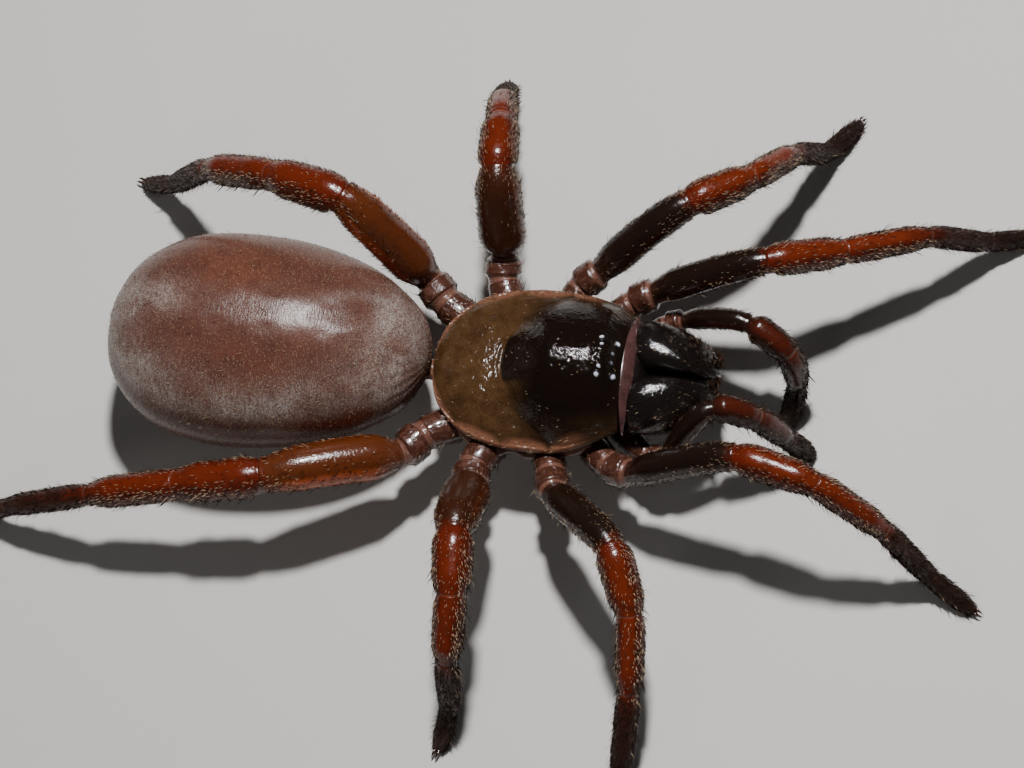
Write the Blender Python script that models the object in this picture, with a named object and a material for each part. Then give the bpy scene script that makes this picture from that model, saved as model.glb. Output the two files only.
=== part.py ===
"""Trapdoor spider, life size, standing still on a level floor with its eight feet down.

Sizes are in millimetres and MM turns them into metres. The body faces +X, its left side is +Y,
and Z is up from the floor. The body's own zero lies on its midline below the middle of the
carapace, and STANCE_AT moves the whole animal so that the floor point under its middle is the
origin. Every limb is one smooth path through its joints. A limb's pieces are stretches of that
path, so neighbours face each other across a thin gap.
"""

import functools
import math

import bmesh
import bpy
from mathutils import Vector

MM = 0.001

# Whole animal
STANCE_AT = (2.13, 1.408)
GAP = 0.06
FLOOR_FLAT_DEPTH = 0.045
FLOOR_BLOCK = (60.0, 60.0, 4.0)

# Carapace, along the midline and at its margin. Knots are (place along X, value).
CARAPACE_REAR = -4.05
CARAPACE_FRONT = 3.78
CARAPACE_HALF_WIDTH = 3.42
CARAPACE_WIDEST_AT = 0.6
CARAPACE_FRONT_TAPER = 0.095
CARAPACE_REAR_ROUNDING = (2.6, 0.45)
CARAPACE_MARGIN = 3.78
CARAPACE_FRONT_LIFT = 0.55
CARAPACE_LIFT_RUN = (1.2, 3.8)
CARAPACE_RIM_DEPTH = 0.1
CARAPACE_FACE_SHARE = 0.125
THORAX_RISE = 1.08
THORAX_SLOPES_FROM = -0.3
CAPUT_RISE = 1.45
CAPUT_RUN = (-1.35, 1.05)
CAPUT_FALL = 0.173
CAPUT_FALL_POWER = 1.5
CAPUT_FRONT_RUN = (2.95, 3.85)
CAPUT_FRONT_DROP = 0.85
CAPUT_SPREAD = ((-1.3, 0.5), (0.8, 0.96))
FOVEA_AT = -1.2
FOVEA_DEPTH = 0.16
FOVEA_SPREAD = (0.22, 0.75)
EYE_MOUND_AT = 3.2
EYE_MOUND_RISE = 0.16
EYE_MOUND_SPREAD = (0.48, 0.8)

# Eyes: name, forward of the mound's middle, out from the midline, radius
EYES = (
    ("ame", 0.18, 0.19, 0.11),
    ("ale", 0.27, 0.65, 0.15),
    ("pme", -0.20, 0.43, 0.10),
    ("ple", -0.25, 0.73, 0.13),
)
EYE_PROUD = 0.45
SOCKET_CLEARANCE = 0.02

# Abdomen, an egg whose wide end is the rear
ABDOMEN_MIDDLE = (-10.72, 0.11, 4.25)
ABDOMEN_HALF = (6.62, 4.3, 3.85)
ABDOMEN_EGG = 0.13
ABDOMEN_BLUNTNESS = 0.125

# Chelicera, one of the pair, with its hinge end against the carapace
CHELICERA_BACK = 3.88
CHELICERA_TIP = 7.3
CHELICERA_TOP = 5.4
CHELICERA_UNDER = 2.75
CHELICERA_WIDTH = 2.35
CHELICERA_INNER = 0.04
CHELICERA_TAPER = 0.44
CHELICERA_DROOP = 1.35
CHELICERA_HINGE_DIP = 0.2
CHELICERA_BLUNTNESS = 1.9
CHELICERA_UNDER_NARROWING = 0.12
CHELICERA_CREST_INWARD = (0.12, 0.45)
FANG_POINTS = ((7.0, 0.75, 2.42), (6.55, 0.72, 2.25), (5.9, 0.68, 2.2), (5.2, 0.62, 2.28), (4.7, 0.58, 2.4))
FANG_RADII = (0.23, 0.25, 0.21, 0.15, 0.06)

# Sternum and waist
STERNUM_REAR = -2.75
STERNUM_FRONT = 2.3
STERNUM_HALF_WIDTH = 1.25
STERNUM_UNDER = 1.85
STERNUM_TOP = 3.6
PEDICEL_POINTS = ((-2.85, 0.0, 3.0), (-3.6, 0.0, 3.05), (-4.1, -0.02, 3.1))
PEDICEL_RADIUS = 0.42

# Spinnerets
SPINNERET_POINTS = ((-16.55, 0.42, 2.15), (-16.95, 0.5, 1.85), (-17.3, 0.55, 1.7))
SPINNERET_RADII = (0.36, 0.33, 0.24)
SPINNERET_MIDLINE = 0.11

# Legs. Each pair has the same sizes on both sides: lengths and greatest radii of trochanter,
# femur, patella, tibia, metatarsus and tarsus.
LEG_LENGTHS = {
    1: (1.1, 5.2, 3.3, 3.6, 3.4, 1.9),
    2: (1.1, 4.8, 2.8, 3.1, 3.2, 1.8),
    3: (0.95, 4.1, 2.5, 2.75, 3.1, 1.8),
    4: (1.15, 5.6, 3.6, 3.9, 4.5, 2.1),
}
LEG_RADII = {
    1: (0.70, 0.66, 0.68, 0.55, 0.43, 0.37),
    2: (0.72, 0.72, 0.74, 0.57, 0.44, 0.37),
    3: (0.80, 0.98, 0.82, 0.64, 0.45, 0.37),
    4: (0.82, 0.97, 0.86, 0.68, 0.47, 0.37),
}
COXA_STARTS = {1: (1.45, 1.45, 2.5), 2: (0.45, 1.6, 2.5), 3: (-0.85, 1.6, 2.5), 4: (-1.95, 1.4, 2.55)}
COXA_ENDS = {1: (3.45, 3.5, 3.2), 2: (1.2, 4.05, 3.15), 3: (-2.0, 4.05, 3.2), 4: (-4.18, 2.87, 3.2)}
COXA_START_RADIUS = 0.46
FOOT_TIP_RADIUS = 0.27

# Claws, two at each foot's tip: how far they start apart and above the tip's middle, how far
# they reach ahead to their bend and to their point, and how far the point drops
CLAW_APART = 0.09
CLAW_ABOVE = 0.08
CLAW_BEND_AHEAD = 0.46
CLAW_POINT_AHEAD = 0.67
CLAW_DROP = 0.22
CLAW_RADII = (0.07, 0.07, 0.056, 0.018)
CLAW_SIDES = 4

# Pose: heading and climb, in degrees, of trochanter, femur, patella, tibia and metatarsus, then
# the tarsus's heading. The tarsus drops by whatever sets the foot on the floor.
LEG_POSE = {
    "L1": ((14, 32), (9, 27), (23, -24), (25, -19), (25, -48), 25),
    "L2": ((27, 31), (32, 30), (35, -15), (58, -39), (56, -60), 58),
    "L3": ((86, 26), (93, 57), (97, -14), (106, -46), (109, -59), 111),
    "L4": ((131, 8), (155, 56), (162, -14), (165, -29), (163, -55), 162),
    "R1": ((-22, 22), (2, 32), (-14, -2), (-17, -44), (-25, -58), -29),
    "R2": ((-73, 28), (-41, 32), (-68, -24), (-89, -34), (-97, -40), -97),
    "R3": ((-77, 20), (-84, 46), (-85, -9), (-94, -37), (-104, -72), -110),
    "R4": ((-124, 8), (-158.5, 17), (-171.5, -6), (-173, -13), (-178, -27), -178),
}

# Palps: lengths and radii of trochanter, femur, patella, tibia and tarsus
PALP_LENGTHS = (0.8, 3.25, 2.0, 2.25, 1.9)
PALP_RADII = (0.52, 0.45, 0.58, 0.52, 0.42)
MAXILLA_START = (2.5, 0.85, 2.35)
MAXILLA_END = (4.85, 2.8, 2.85)
MAXILLA_START_RADIUS = 0.42
PALP_TIP_RADIUS = 0.3
PALP_POSE = {
    "L": ((7, 23), (-10, 29), (-27, -22), (-70, -78), -112),
    "R": ((-4, 12), (40, 43), (3, -36), (-4, -64), 10),
}

# How a segment swells between its two narrow joints. A joint's radius is a share of the thinner
# neighbour's, given from the trochanter's near end outwards.
JOINT_PINCHES = (0.84, 0.76, 0.86, 0.93, 0.92, 0.94)
SWELL_FROM = 0.22
SWELL_TO = 0.72
FAR_SWELL = 0.96
BEND = 0.85
LONGEST_BEND_SHARE = 0.45
FEMUR_RUN = 2
FEMUR_BOW = 0.3

# Faceting: sides of a tube, steps along each piece, the short step that squares a piece's ends,
# and the turns in degrees of the rings that round a tip
TUBE_SIDES = 8
HIP_STEPS = 6
FEMUR_STEPS = 5
SHIN_STEPS = 9
FOOT_STEPS = 7
PALP_TIP_STEPS = 11
END_STEP = 0.12
TIP_TURNS = (0, 45, 75)
EYE_FACETS = (8, 5)
CARAPACE_FACETS = (20, 16)
ABDOMEN_FACETS = (22, 16)
CHELICERA_FACETS = (16, 12)
STERNUM_FACETS = (16, 10)
SHARPEST_SMOOTHED = 50

# Colour, roughness
FINISHES = {
    "carapace_shell": ((0.020, 0.009, 0.006), 0.22),
    "abdomen_skin": ((0.098, 0.042, 0.036), 0.42),
    "femur_shell": ((0.060, 0.014, 0.006), 0.28),
    "leg_shell": ((0.155, 0.022, 0.007), 0.28),
    "foot_shell": ((0.028, 0.012, 0.008), 0.45),
    "hip_shell": ((0.150, 0.045, 0.022), 0.30),
    "chelicera_shell": ((0.008, 0.005, 0.004), 0.18),
    "sternum_shell": ((0.120, 0.045, 0.020), 0.38),
    "eye_lens": ((0.010, 0.010, 0.016), 0.05),
    "fang_shell": ((0.030, 0.006, 0.003), 0.15),
}


def clear_scene():
    for thing in list(bpy.data.objects):
        bpy.data.objects.remove(thing, do_unlink=True)


def new_collection(name):
    collection = bpy.data.collections.new(name)
    bpy.context.scene.collection.children.link(collection)
    return collection


def finish_material(name):
    """One Principled material for each finish, made once."""
    material = bpy.data.materials.get(name)
    if material is None:
        colour, roughness = FINISHES[name]
        material = bpy.data.materials.new(name)
        material.use_nodes = True
        shader = material.node_tree.nodes["Principled BSDF"]
        shader.inputs["Base Color"].default_value = (*colour, 1.0)
        shader.inputs["Roughness"].default_value = roughness
        shader.inputs["Metallic"].default_value = 0.0
    return material


def ease(value):
    """Rises smoothly from 0 to 1 as value goes from 0 to 1."""
    value = min(max(value, 0.0), 1.0)
    return value * value * (3.0 - 2.0 * value)


def eased_between(knots, at):
    """The value at a place, eased from knot to knot; knots are (place, value) in order."""
    if at <= knots[0][0]:
        return knots[0][1]
    for (place, value), (next_place, next_value) in zip(knots, knots[1:]):
        if at <= next_place:
            return value + (next_value - value) * ease((at - place) / (next_place - place))
    return knots[-1][1]


def heading(turn, climb):
    """Unit vector at a turn about Z from +X and a climb above the floor's plane, in degrees."""
    turn, climb = math.radians(turn), math.radians(climb)
    return Vector((math.cos(climb) * math.cos(turn), math.cos(climb) * math.sin(turn), math.sin(climb)))


class BentPath:
    """A path of straight runs whose corners are rounded by a parabola over BEND each way.

    The femur's run also bows up, by a parabola over its whole length.
    """

    def __init__(self, corners):
        self.corners = [Vector(corner) for corner in corners]
        self.marks = [0.0]
        for here, there in zip(self.corners, self.corners[1:]):
            self.marks.append(self.marks[-1] + (there - here).length)

    def straight(self, at):
        """The point at a distance along the runs, before their corners are rounded."""
        last_run = len(self.marks) - 2
        index = next((run for run in range(last_run) if at < self.marks[run + 1]), last_run)
        run_length = self.marks[index + 1] - self.marks[index]
        return self.corners[index].lerp(self.corners[index + 1], (at - self.marks[index]) / run_length)

    def bow(self, at):
        """How far the femur's run lifts the path at a distance along it."""
        start, end = self.marks[FEMUR_RUN:FEMUR_RUN + 2]
        share = min(max((at - start) / (end - start), 0.0), 1.0)
        return Vector((0.0, 0.0, 4.0 * FEMUR_BOW * share * (1.0 - share)))

    def point(self, at):
        """The point at the same distance on the rounded and bowed path."""
        for index in range(1, len(self.marks) - 1):
            before = self.marks[index] - self.marks[index - 1]
            after = self.marks[index + 1] - self.marks[index]
            reach = min(BEND, LONGEST_BEND_SHARE * before, LONGEST_BEND_SHARE * after)
            share = (at - self.marks[index] + reach) / (2.0 * reach)
            if 0.0 < share < 1.0:
                corner = self.corners[index]
                start = self.straight(self.marks[index] - reach)
                end = self.straight(self.marks[index] + reach)
                return start.lerp(corner, share).lerp(corner.lerp(end, share), share) + self.bow(at)
        return self.straight(at) + self.bow(at)


def limb_knots(marks, radii, start_radius, tip_radius):
    """Radius along a limb: each segment swells between pinched joints and the tip is blunt."""
    knots = [(0.0, start_radius)]
    for index, radius in enumerate(radii):
        start, end = marks[index], marks[index + 1]
        if index > 0:
            knots.append((start, JOINT_PINCHES[index - 1] * min(radius, radii[index - 1])))
        knots.append((start + SWELL_FROM * (end - start), radius))
        knots.append((start + SWELL_TO * (end - start), FAR_SWELL * radius))
    knots.append((marks[-1], tip_radius))
    return knots


class Bench:
    """Where the pieces are put: the animal's collection, the guides' one and the stance."""

    def __init__(self):
        self.parts = new_collection("trapdoor_spider")
        self.guides = new_collection("guides")
        self.stance = bpy.data.objects.new("stance", None)
        self.stance.location = MM * Vector((*STANCE_AT, 0.0))
        self.parts.objects.link(self.stance)

    def part(self, name, data, finish):
        """A named piece of the animal with its finish."""
        piece = bpy.data.objects.new(name, data)
        self.parts.objects.link(piece)
        piece.parent = self.stance
        data.materials.append(finish_material(finish))
        return piece

    def guide(self, name, mesh):
        """A shape that only cuts or joins."""
        shape = bpy.data.objects.new(name, mesh)
        self.guides.objects.link(shape)
        shape.parent = self.stance
        shape.hide_render = True
        shape.display_type = "WIRE"
        return shape


def boolean(piece, shape, operation):
    """Joins a guide's shape to a mesh piece, or cuts it away."""
    step = piece.modifiers.new(operation.lower() + "_" + shape.name, "BOOLEAN")
    step.operation = operation
    step.solver = "EXACT"
    step.object = shape


def tube_curve(name, points, radii, sides=TUBE_SIDES):
    """A capped tube along points in millimetres, with a radius at each point."""
    curve = bpy.data.curves.new(name, "CURVE")
    curve.dimensions = "3D"
    curve.bevel_depth = MM
    curve.bevel_resolution = sides // 2 - 2
    curve.use_fill_caps = True
    spline = curve.splines.new("POLY")
    spline.points.add(len(points) - 1)
    for control, point, radius in zip(spline.points, points, radii):
        control.co = (*(MM * Vector(point)), 1.0)
        control.radius = radius
    return curve


def tube_mesh(name, points, radii, sides=TUBE_SIDES):
    """The same tube as a closed mesh, its caps welded on."""
    curve = tube_curve(name, points, radii, sides)
    helper = bpy.data.objects.new(name, curve)
    bpy.context.scene.collection.objects.link(helper)
    bpy.context.view_layer.update()
    evaluated = helper.evaluated_get(bpy.context.evaluated_depsgraph_get())
    mesh = bpy.data.meshes.new_from_object(evaluated)
    bpy.data.objects.remove(helper, do_unlink=True)
    bpy.data.curves.remove(curve)
    shell = bmesh.new()
    shell.from_mesh(mesh)
    bmesh.ops.remove_doubles(shell, verts=shell.verts, dist=0.01 * MM)
    bmesh.ops.recalc_face_normals(shell, faces=shell.faces)
    shell.to_mesh(mesh)
    shell.free()
    return mesh


def ball_mesh(name, radius, middle=(0.0, 0.0, 0.0)):
    """A small faceted ball about a point in millimetres."""
    across, along = EYE_FACETS
    ball = bmesh.new()
    bmesh.ops.create_uvsphere(ball, u_segments=across, v_segments=along, radius=MM * radius)
    bmesh.ops.translate(ball, verts=ball.verts, vec=MM * Vector(middle))
    mesh = bpy.data.meshes.new(name)
    ball.to_mesh(mesh)
    ball.free()
    mesh.shade_smooth()
    return mesh


def moulded_sphere(name, facets, mould):
    """A sphere primitive whose points are moved by mould(share along, angle around).

    The share runs from 0 at the front pole to 1 at the rear one. The angle is 0 at the left
    side and a quarter turn at the top.
    """
    across, along = facets
    shell = bmesh.new()
    bmesh.ops.create_uvsphere(shell, u_segments=across, v_segments=along, radius=1.0)
    for vertex in shell.verts:
        share = math.acos(min(max(vertex.co.z, -1.0), 1.0)) / math.pi
        vertex.co = MM * Vector(mould(share, math.atan2(vertex.co.y, vertex.co.x)))
    mesh = bpy.data.meshes.new(name)
    shell.to_mesh(mesh)
    shell.free()
    mesh.shade_smooth()
    mesh.set_sharp_from_angle(angle=math.radians(SHARPEST_SMOOTHED))
    return mesh


def carapace_half_width(x):
    """Rounded behind its widest place, and drawn in gently towards the straight front edge."""
    if x > CARAPACE_WIDEST_AT:
        return CARAPACE_HALF_WIDTH - CARAPACE_FRONT_TAPER * (x - CARAPACE_WIDEST_AT) ** 2
    back = (CARAPACE_WIDEST_AT - x) / (CARAPACE_WIDEST_AT - CARAPACE_REAR)
    power, root = CARAPACE_REAR_ROUNDING
    return CARAPACE_HALF_WIDTH * max(1.0 - back ** power, 0.0) ** root


def carapace_margin(x):
    """Height of the shell's edge, which lifts towards the front corners."""
    lift_from, lift_to = CARAPACE_LIFT_RUN
    return CARAPACE_MARGIN + CARAPACE_FRONT_LIFT * ease((x - lift_from) / (lift_to - lift_from))


def caput_arch(x):
    """Share of the head's rise along the midline: up from the groove, gently down towards the
    eyes, then steeply down the face."""
    rise_from, rise_to = CAPUT_RUN
    front_from, front_to = CAPUT_FRONT_RUN
    fall = 1.0 - CAPUT_FALL * max(x - rise_to, 0.0) ** CAPUT_FALL_POWER
    face = 1.0 - CAPUT_FRONT_DROP * ease((x - front_from) / (front_to - front_from))
    return ease((x - rise_from) / (rise_to - rise_from)) * fall * face


def carapace_top(x, y):
    """Height of the shell: a low thorax behind, a groove, and the high arched head in front."""
    out = min(abs(y) / max(carapace_half_width(x), 0.001), 1.0)
    back = min(max((THORAX_SLOPES_FROM - x) / (THORAX_SLOPES_FROM - CARAPACE_REAR), 0.0), 1.0)
    thorax = THORAX_RISE * math.sqrt(1.0 - back ** 2) * (1.0 - out ** 2.2) ** 0.7
    spread = eased_between(CAPUT_SPREAD, x)
    across = (1.0 - min(out / spread, 1.0) ** 2) ** 0.85
    caput = CAPUT_RISE * caput_arch(x) * across
    long, wide = EYE_MOUND_SPREAD
    mound = EYE_MOUND_RISE * math.exp(-((x - EYE_MOUND_AT) / long) ** 2 - (y / wide) ** 2)
    long, wide = FOVEA_SPREAD
    fovea = FOVEA_DEPTH * math.exp(-((x - FOVEA_AT) / long) ** 2 - (y / wide) ** 4)
    return carapace_margin(x) + thorax + caput + mound - fovea


def carapace_mould(share, angle):
    """Cross-sections from the front face, closed by two rings, to the rounded rear."""
    run = min(max((share - CARAPACE_FACE_SHARE) / (1.0 - CARAPACE_FACE_SHARE), 0.0), 1.0)
    x = CARAPACE_FRONT - (CARAPACE_FRONT - CARAPACE_REAR) * math.sin(run * math.pi / 2.0)
    y = carapace_half_width(x) * math.cos(angle)
    above = math.sin(angle) > -0.001
    z = carapace_top(x, y) if above else carapace_margin(x) - CARAPACE_RIM_DEPTH
    scale = min(share / CARAPACE_FACE_SHARE, 1.0)
    middle = 0.5 * (CARAPACE_MARGIN + carapace_top(CARAPACE_FRONT, 0.0))
    return (x, scale * y, middle + scale * (z - middle))


def eye_places():
    """Each eye's name, middle and radius: sunk in the mound with EYE_PROUD of its radius out."""
    for side, sign in (("L", 1.0), ("R", -1.0)):
        for kind, ahead, out, radius in EYES:
            x = EYE_MOUND_AT + ahead
            z = carapace_top(x, sign * out) + (EYE_PROUD - 1.0) * radius
            yield "eye_" + kind + "_" + side, (x, sign * out, z), radius


def make_carapace(bench):
    mesh = moulded_sphere("carapace", CARAPACE_FACETS, carapace_mould)
    shell = bench.part("carapace", mesh, "carapace_shell")
    for name, middle, radius in eye_places():
        socket = ball_mesh("socket_" + name, radius + SOCKET_CLEARANCE, middle)
        boolean(shell, bench.guide("socket_" + name, socket), "DIFFERENCE")


def make_eyes(bench):
    for name, middle, radius in eye_places():
        eye = bench.part(name, ball_mesh(name, radius), "eye_lens")
        eye.location = MM * Vector(middle)


def abdomen_mould(share, angle):
    """An egg: its girth is greatest a little behind the middle, and both its ends are blunt."""
    ahead = math.cos(share * math.pi)
    girth = math.sin(share * math.pi) * (1.0 - ABDOMEN_EGG * ahead) * (1.0 + ABDOMEN_BLUNTNESS * ahead ** 2)
    long, wide, high = ABDOMEN_HALF
    local = Vector((long * ahead, wide * girth * math.cos(angle), high * girth * math.sin(angle)))
    return Vector(ABDOMEN_MIDDLE) + local


def make_abdomen(bench):
    mesh = moulded_sphere("abdomen", ABDOMEN_FACETS, abdomen_mould)
    bench.part("abdomen", mesh, "abdomen_skin")


def chelicera_mould(side, share, angle):
    """A deep wedge: tall and wide at the carapace, drawn in and rounded down at the tip. Its crest
    lies nearer the midline than its middle does, and its inner face is flat."""
    length = CHELICERA_TIP - CHELICERA_BACK
    ahead = 0.5 * (1.0 + math.cos(share * math.pi))
    girth = min(CHELICERA_BLUNTNESS * math.sin(share * math.pi), 1.0) ** 0.6
    half_width = 0.5 * CHELICERA_WIDTH * (1.0 - CHELICERA_TAPER * ahead ** 2)
    top = CHELICERA_TOP - CHELICERA_HINGE_DIP * (1.0 - ahead) ** 4 - CHELICERA_DROOP * ahead ** 2.6
    middle = 0.5 * (top + CHELICERA_UNDER)
    lift = math.sin(angle)
    narrowing = 1.0 - CHELICERA_UNDER_NARROWING * max(-lift, 0.0)
    at_hinge, further_ahead = CHELICERA_CREST_INWARD
    inward = (at_hinge + further_ahead * ahead) * max(lift, 0.0) ** 2
    out = max(girth * (side * math.cos(angle) * narrowing - inward), -1.0)
    y = CHELICERA_INNER + half_width * (1.0 + out)
    return (CHELICERA_BACK + length * ahead, side * y, middle + lift * (top - middle) * girth)


def make_chelicerae(bench):
    for side, sign in (("L", 1.0), ("R", -1.0)):
        name = "chelicera_" + side
        mesh = moulded_sphere(name, CHELICERA_FACETS, functools.partial(chelicera_mould, sign))
        bench.part(name, mesh, "chelicera_shell")
        points = [mirrored(point, sign) for point in FANG_POINTS]
        bench.part("fang_" + side, tube_curve("fang_" + side, points, FANG_RADII), "fang_shell")


def sternum_mould(share, angle):
    """A shield, widest in the middle, with a flat top under the carapace."""
    length = STERNUM_FRONT - STERNUM_REAR
    girth = math.sin(share * math.pi)
    y = STERNUM_HALF_WIDTH * girth ** 0.7 * math.cos(angle)
    middle = 0.5 * (STERNUM_UNDER + STERNUM_TOP)
    z = middle + 0.5 * (STERNUM_TOP - STERNUM_UNDER) * girth ** 0.5 * math.sin(angle)
    return (STERNUM_REAR + 0.5 * length * (1.0 + math.cos(share * math.pi)), y, z)


def make_trunk_underside(bench):
    mesh = moulded_sphere("sternum", STERNUM_FACETS, sternum_mould)
    bench.part("sternum", mesh, "sternum_shell")
    radii = [PEDICEL_RADIUS] * len(PEDICEL_POINTS)
    bench.part("pedicel", tube_curve("pedicel", PEDICEL_POINTS, radii), "abdomen_skin")
    for side, sign in (("L", 1.0), ("R", -1.0)):
        points = [(x, sign * y + SPINNERET_MIDLINE, z) for x, y, z in SPINNERET_POINTS]
        name = "spinneret_" + side
        bench.part(name, tube_curve(name, points, SPINNERET_RADII), "abdomen_skin")


def mirrored(point, sign):
    """The point itself on the left side, or its mirror image on the right."""
    return (point[0], sign * point[1], point[2])


def limb_corners(start, root, lengths, pose, last_turn, tip_height):
    """Joints of a limb: the last segment drops from its joint to the height of the tip."""
    corners = [Vector(start), Vector(root)]
    for length, (turn, climb) in zip(lengths, pose):
        corners.append(corners[-1] + length * heading(turn, climb))
    drop = (corners[-1].z - tip_height) / lengths[-1]
    corners.append(corners[-1] + lengths[-1] * heading(last_turn, -math.degrees(math.asin(drop))))
    return corners


def stretch(path, knots, start, end, steps):
    """Points and radii of one piece, with a short step at each end so that it ends square."""
    first, last = start + GAP, end - GAP
    inner = [first + (last - first) * step / steps for step in range(1, steps)]
    places = [first, first + END_STEP, *inner, last - END_STEP, last]
    return [path.point(place) for place in places], [eased_between(knots, place) for place in places]


def tip_stretch(path, knots, start, end, steps, tip_radius):
    """The same for a limb's last piece, whose far end is rounded like a ball about the tip."""
    first = start + GAP
    inner = [first + (end - first) * step / steps for step in range(1, steps - 1)]
    places = [first, first + END_STEP, *inner, end - tip_radius]
    points = [path.point(place) for place in places]
    radii = [eased_between(knots, place) for place in places]
    tip = path.point(end)
    ahead = (tip - path.point(end - END_STEP)).normalized()
    for turn in TIP_TURNS:
        points.append(tip + tip_radius * math.sin(math.radians(turn)) * ahead)
        radii.append(tip_radius * math.cos(math.radians(turn)))
    return points, radii


def make_tip(bench, name, finish, shape, floor):
    """A limb's last piece, cut level where it stands on the floor."""
    points, radii = shape
    tip = bench.part(name, tube_mesh(name, points, radii), finish)
    boolean(tip, floor, "DIFFERENCE")
    return tip


def add_claws(bench, foot, points):
    """Two small curved claws, level with the foot's heading and bent down at their points."""
    tip = points[-len(TIP_TURNS)]
    ahead = (points[-1] - tip).to_2d().to_3d().normalized()
    aside = Vector((-ahead.y, ahead.x, 0.0))
    for side, sign in (("a", 1.0), ("b", -1.0)):
        root = tip + sign * CLAW_APART * aside + Vector((0.0, 0.0, CLAW_ABOVE))
        bend = root + CLAW_BEND_AHEAD * ahead
        point = root + CLAW_POINT_AHEAD * ahead - Vector((0.0, 0.0, CLAW_DROP))
        name = foot.name + "_claw_" + side
        mesh = tube_mesh(name, (root, root.lerp(bend, 0.6), bend, point), CLAW_RADII, CLAW_SIDES)
        boolean(foot, bench.guide(name, mesh), "UNION")


def make_legs(bench, floor):
    for name, pose in LEG_POSE.items():
        pair = int(name[1])
        sign = 1.0 if name[0] == "L" else -1.0
        start, root = mirrored(COXA_STARTS[pair], sign), mirrored(COXA_ENDS[pair], sign)
        tip_height = FOOT_TIP_RADIUS - FLOOR_FLAT_DEPTH
        path = BentPath(limb_corners(start, root, LEG_LENGTHS[pair], pose[:5], pose[5], tip_height))
        marks = path.marks
        radii = LEG_RADII[pair]
        knots = limb_knots(marks, (radii[0],) + radii, COXA_START_RADIUS, FOOT_TIP_RADIUS)
        pieces = (
            ("hip", marks[0] - GAP, marks[2], HIP_STEPS, "hip_shell"),
            ("femur", marks[2], marks[3], FEMUR_STEPS, "femur_shell"),
            ("shin", marks[3], marks[5], SHIN_STEPS, "leg_shell"),
        )
        for piece, first, last, steps, finish in pieces:
            piece_name = "leg_" + name + "_" + piece
            points, piece_radii = stretch(path, knots, first, last, steps)
            bench.part(piece_name, tube_curve(piece_name, points, piece_radii), finish)
        shape = tip_stretch(path, knots, marks[5], marks[7], FOOT_STEPS, FOOT_TIP_RADIUS)
        foot = make_tip(bench, "leg_" + name + "_foot", "foot_shell", shape, floor)
        add_claws(bench, foot, shape[0])


def make_palps(bench, floor):
    for side, sign in (("L", 1.0), ("R", -1.0)):
        pose = PALP_POSE[side]
        start, root = mirrored(MAXILLA_START, sign), mirrored(MAXILLA_END, sign)
        tip_height = PALP_TIP_RADIUS - FLOOR_FLAT_DEPTH
        path = BentPath(limb_corners(start, root, PALP_LENGTHS, pose[:4], pose[4], tip_height))
        marks = path.marks
        knots = limb_knots(marks, (PALP_RADII[0],) + PALP_RADII, MAXILLA_START_RADIUS, PALP_TIP_RADIUS)
        pieces = (
            ("maxilla", marks[0] - GAP, marks[2], HIP_STEPS, "hip_shell"),
            ("femur", marks[2], marks[3], FEMUR_STEPS, "femur_shell"),
        )
        for piece, first, last, steps, finish in pieces:
            piece_name = "palp_" + side + "_" + piece
            points, piece_radii = stretch(path, knots, first, last, steps)
            bench.part(piece_name, tube_curve(piece_name, points, piece_radii), finish)
        shape = tip_stretch(path, knots, marks[3], marks[6], PALP_TIP_STEPS, PALP_TIP_RADIUS)
        make_tip(bench, "palp_" + side + "_tip", "leg_shell", shape, floor)


def make_floor_guide(bench):
    """A wide block below the floor's level, which trims the feet flat."""
    block = bmesh.new()
    bmesh.ops.create_cube(block, size=MM)
    bmesh.ops.scale(block, verts=block.verts, vec=FLOOR_BLOCK)
    bmesh.ops.translate(block, verts=block.verts, vec=(0.0, 0.0, -0.5 * MM * FLOOR_BLOCK[2]))
    mesh = bpy.data.meshes.new("floor_guide")
    block.to_mesh(mesh)
    block.free()
    return bench.guide("floor_guide", mesh)


def main():
    clear_scene()
    bench = Bench()
    floor = make_floor_guide(bench)
    make_carapace(bench)
    make_eyes(bench)
    make_abdomen(bench)
    make_chelicerae(bench)
    make_trunk_underside(bench)
    make_legs(bench, floor)
    make_palps(bench, floor)
    bpy.context.view_layer.update()


main()
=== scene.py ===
"""Looks of the trapdoor spider: skins, shells, lenses, claws, bristles and the stage they stand on.

Sizes inside the shape functions are in millimetres in the animal's own frame: +X ahead, +Y to its
left, +Z up, zero on its midline under the middle of the carapace. Mesh points are in metres in the
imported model's frame, which STANCE moves by.
"""

import math

import bpy
import numpy as np
from mathutils import Matrix, Vector


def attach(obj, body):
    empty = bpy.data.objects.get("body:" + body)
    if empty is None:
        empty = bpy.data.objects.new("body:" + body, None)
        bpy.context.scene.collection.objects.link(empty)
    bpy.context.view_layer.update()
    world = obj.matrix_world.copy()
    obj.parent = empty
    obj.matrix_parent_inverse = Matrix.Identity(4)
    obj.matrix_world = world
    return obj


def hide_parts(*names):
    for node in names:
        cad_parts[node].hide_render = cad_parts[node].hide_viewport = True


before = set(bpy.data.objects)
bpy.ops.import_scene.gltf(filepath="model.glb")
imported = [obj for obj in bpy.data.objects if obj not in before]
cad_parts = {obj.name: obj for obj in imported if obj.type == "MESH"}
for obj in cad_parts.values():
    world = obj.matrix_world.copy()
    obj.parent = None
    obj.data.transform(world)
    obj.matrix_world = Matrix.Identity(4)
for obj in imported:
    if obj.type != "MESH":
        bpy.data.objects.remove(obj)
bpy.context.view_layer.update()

bl_info = {
    "name": "Trapdoor spider",
    "version": (1, 0, 0),
    "blender": (4, 5, 0),
    "location": "3D View > Sidebar > Spider",
    "description": "A life-size trapdoor spider with its shells, skins, lenses and bristles",
    "category": "Add Mesh",
}

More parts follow.
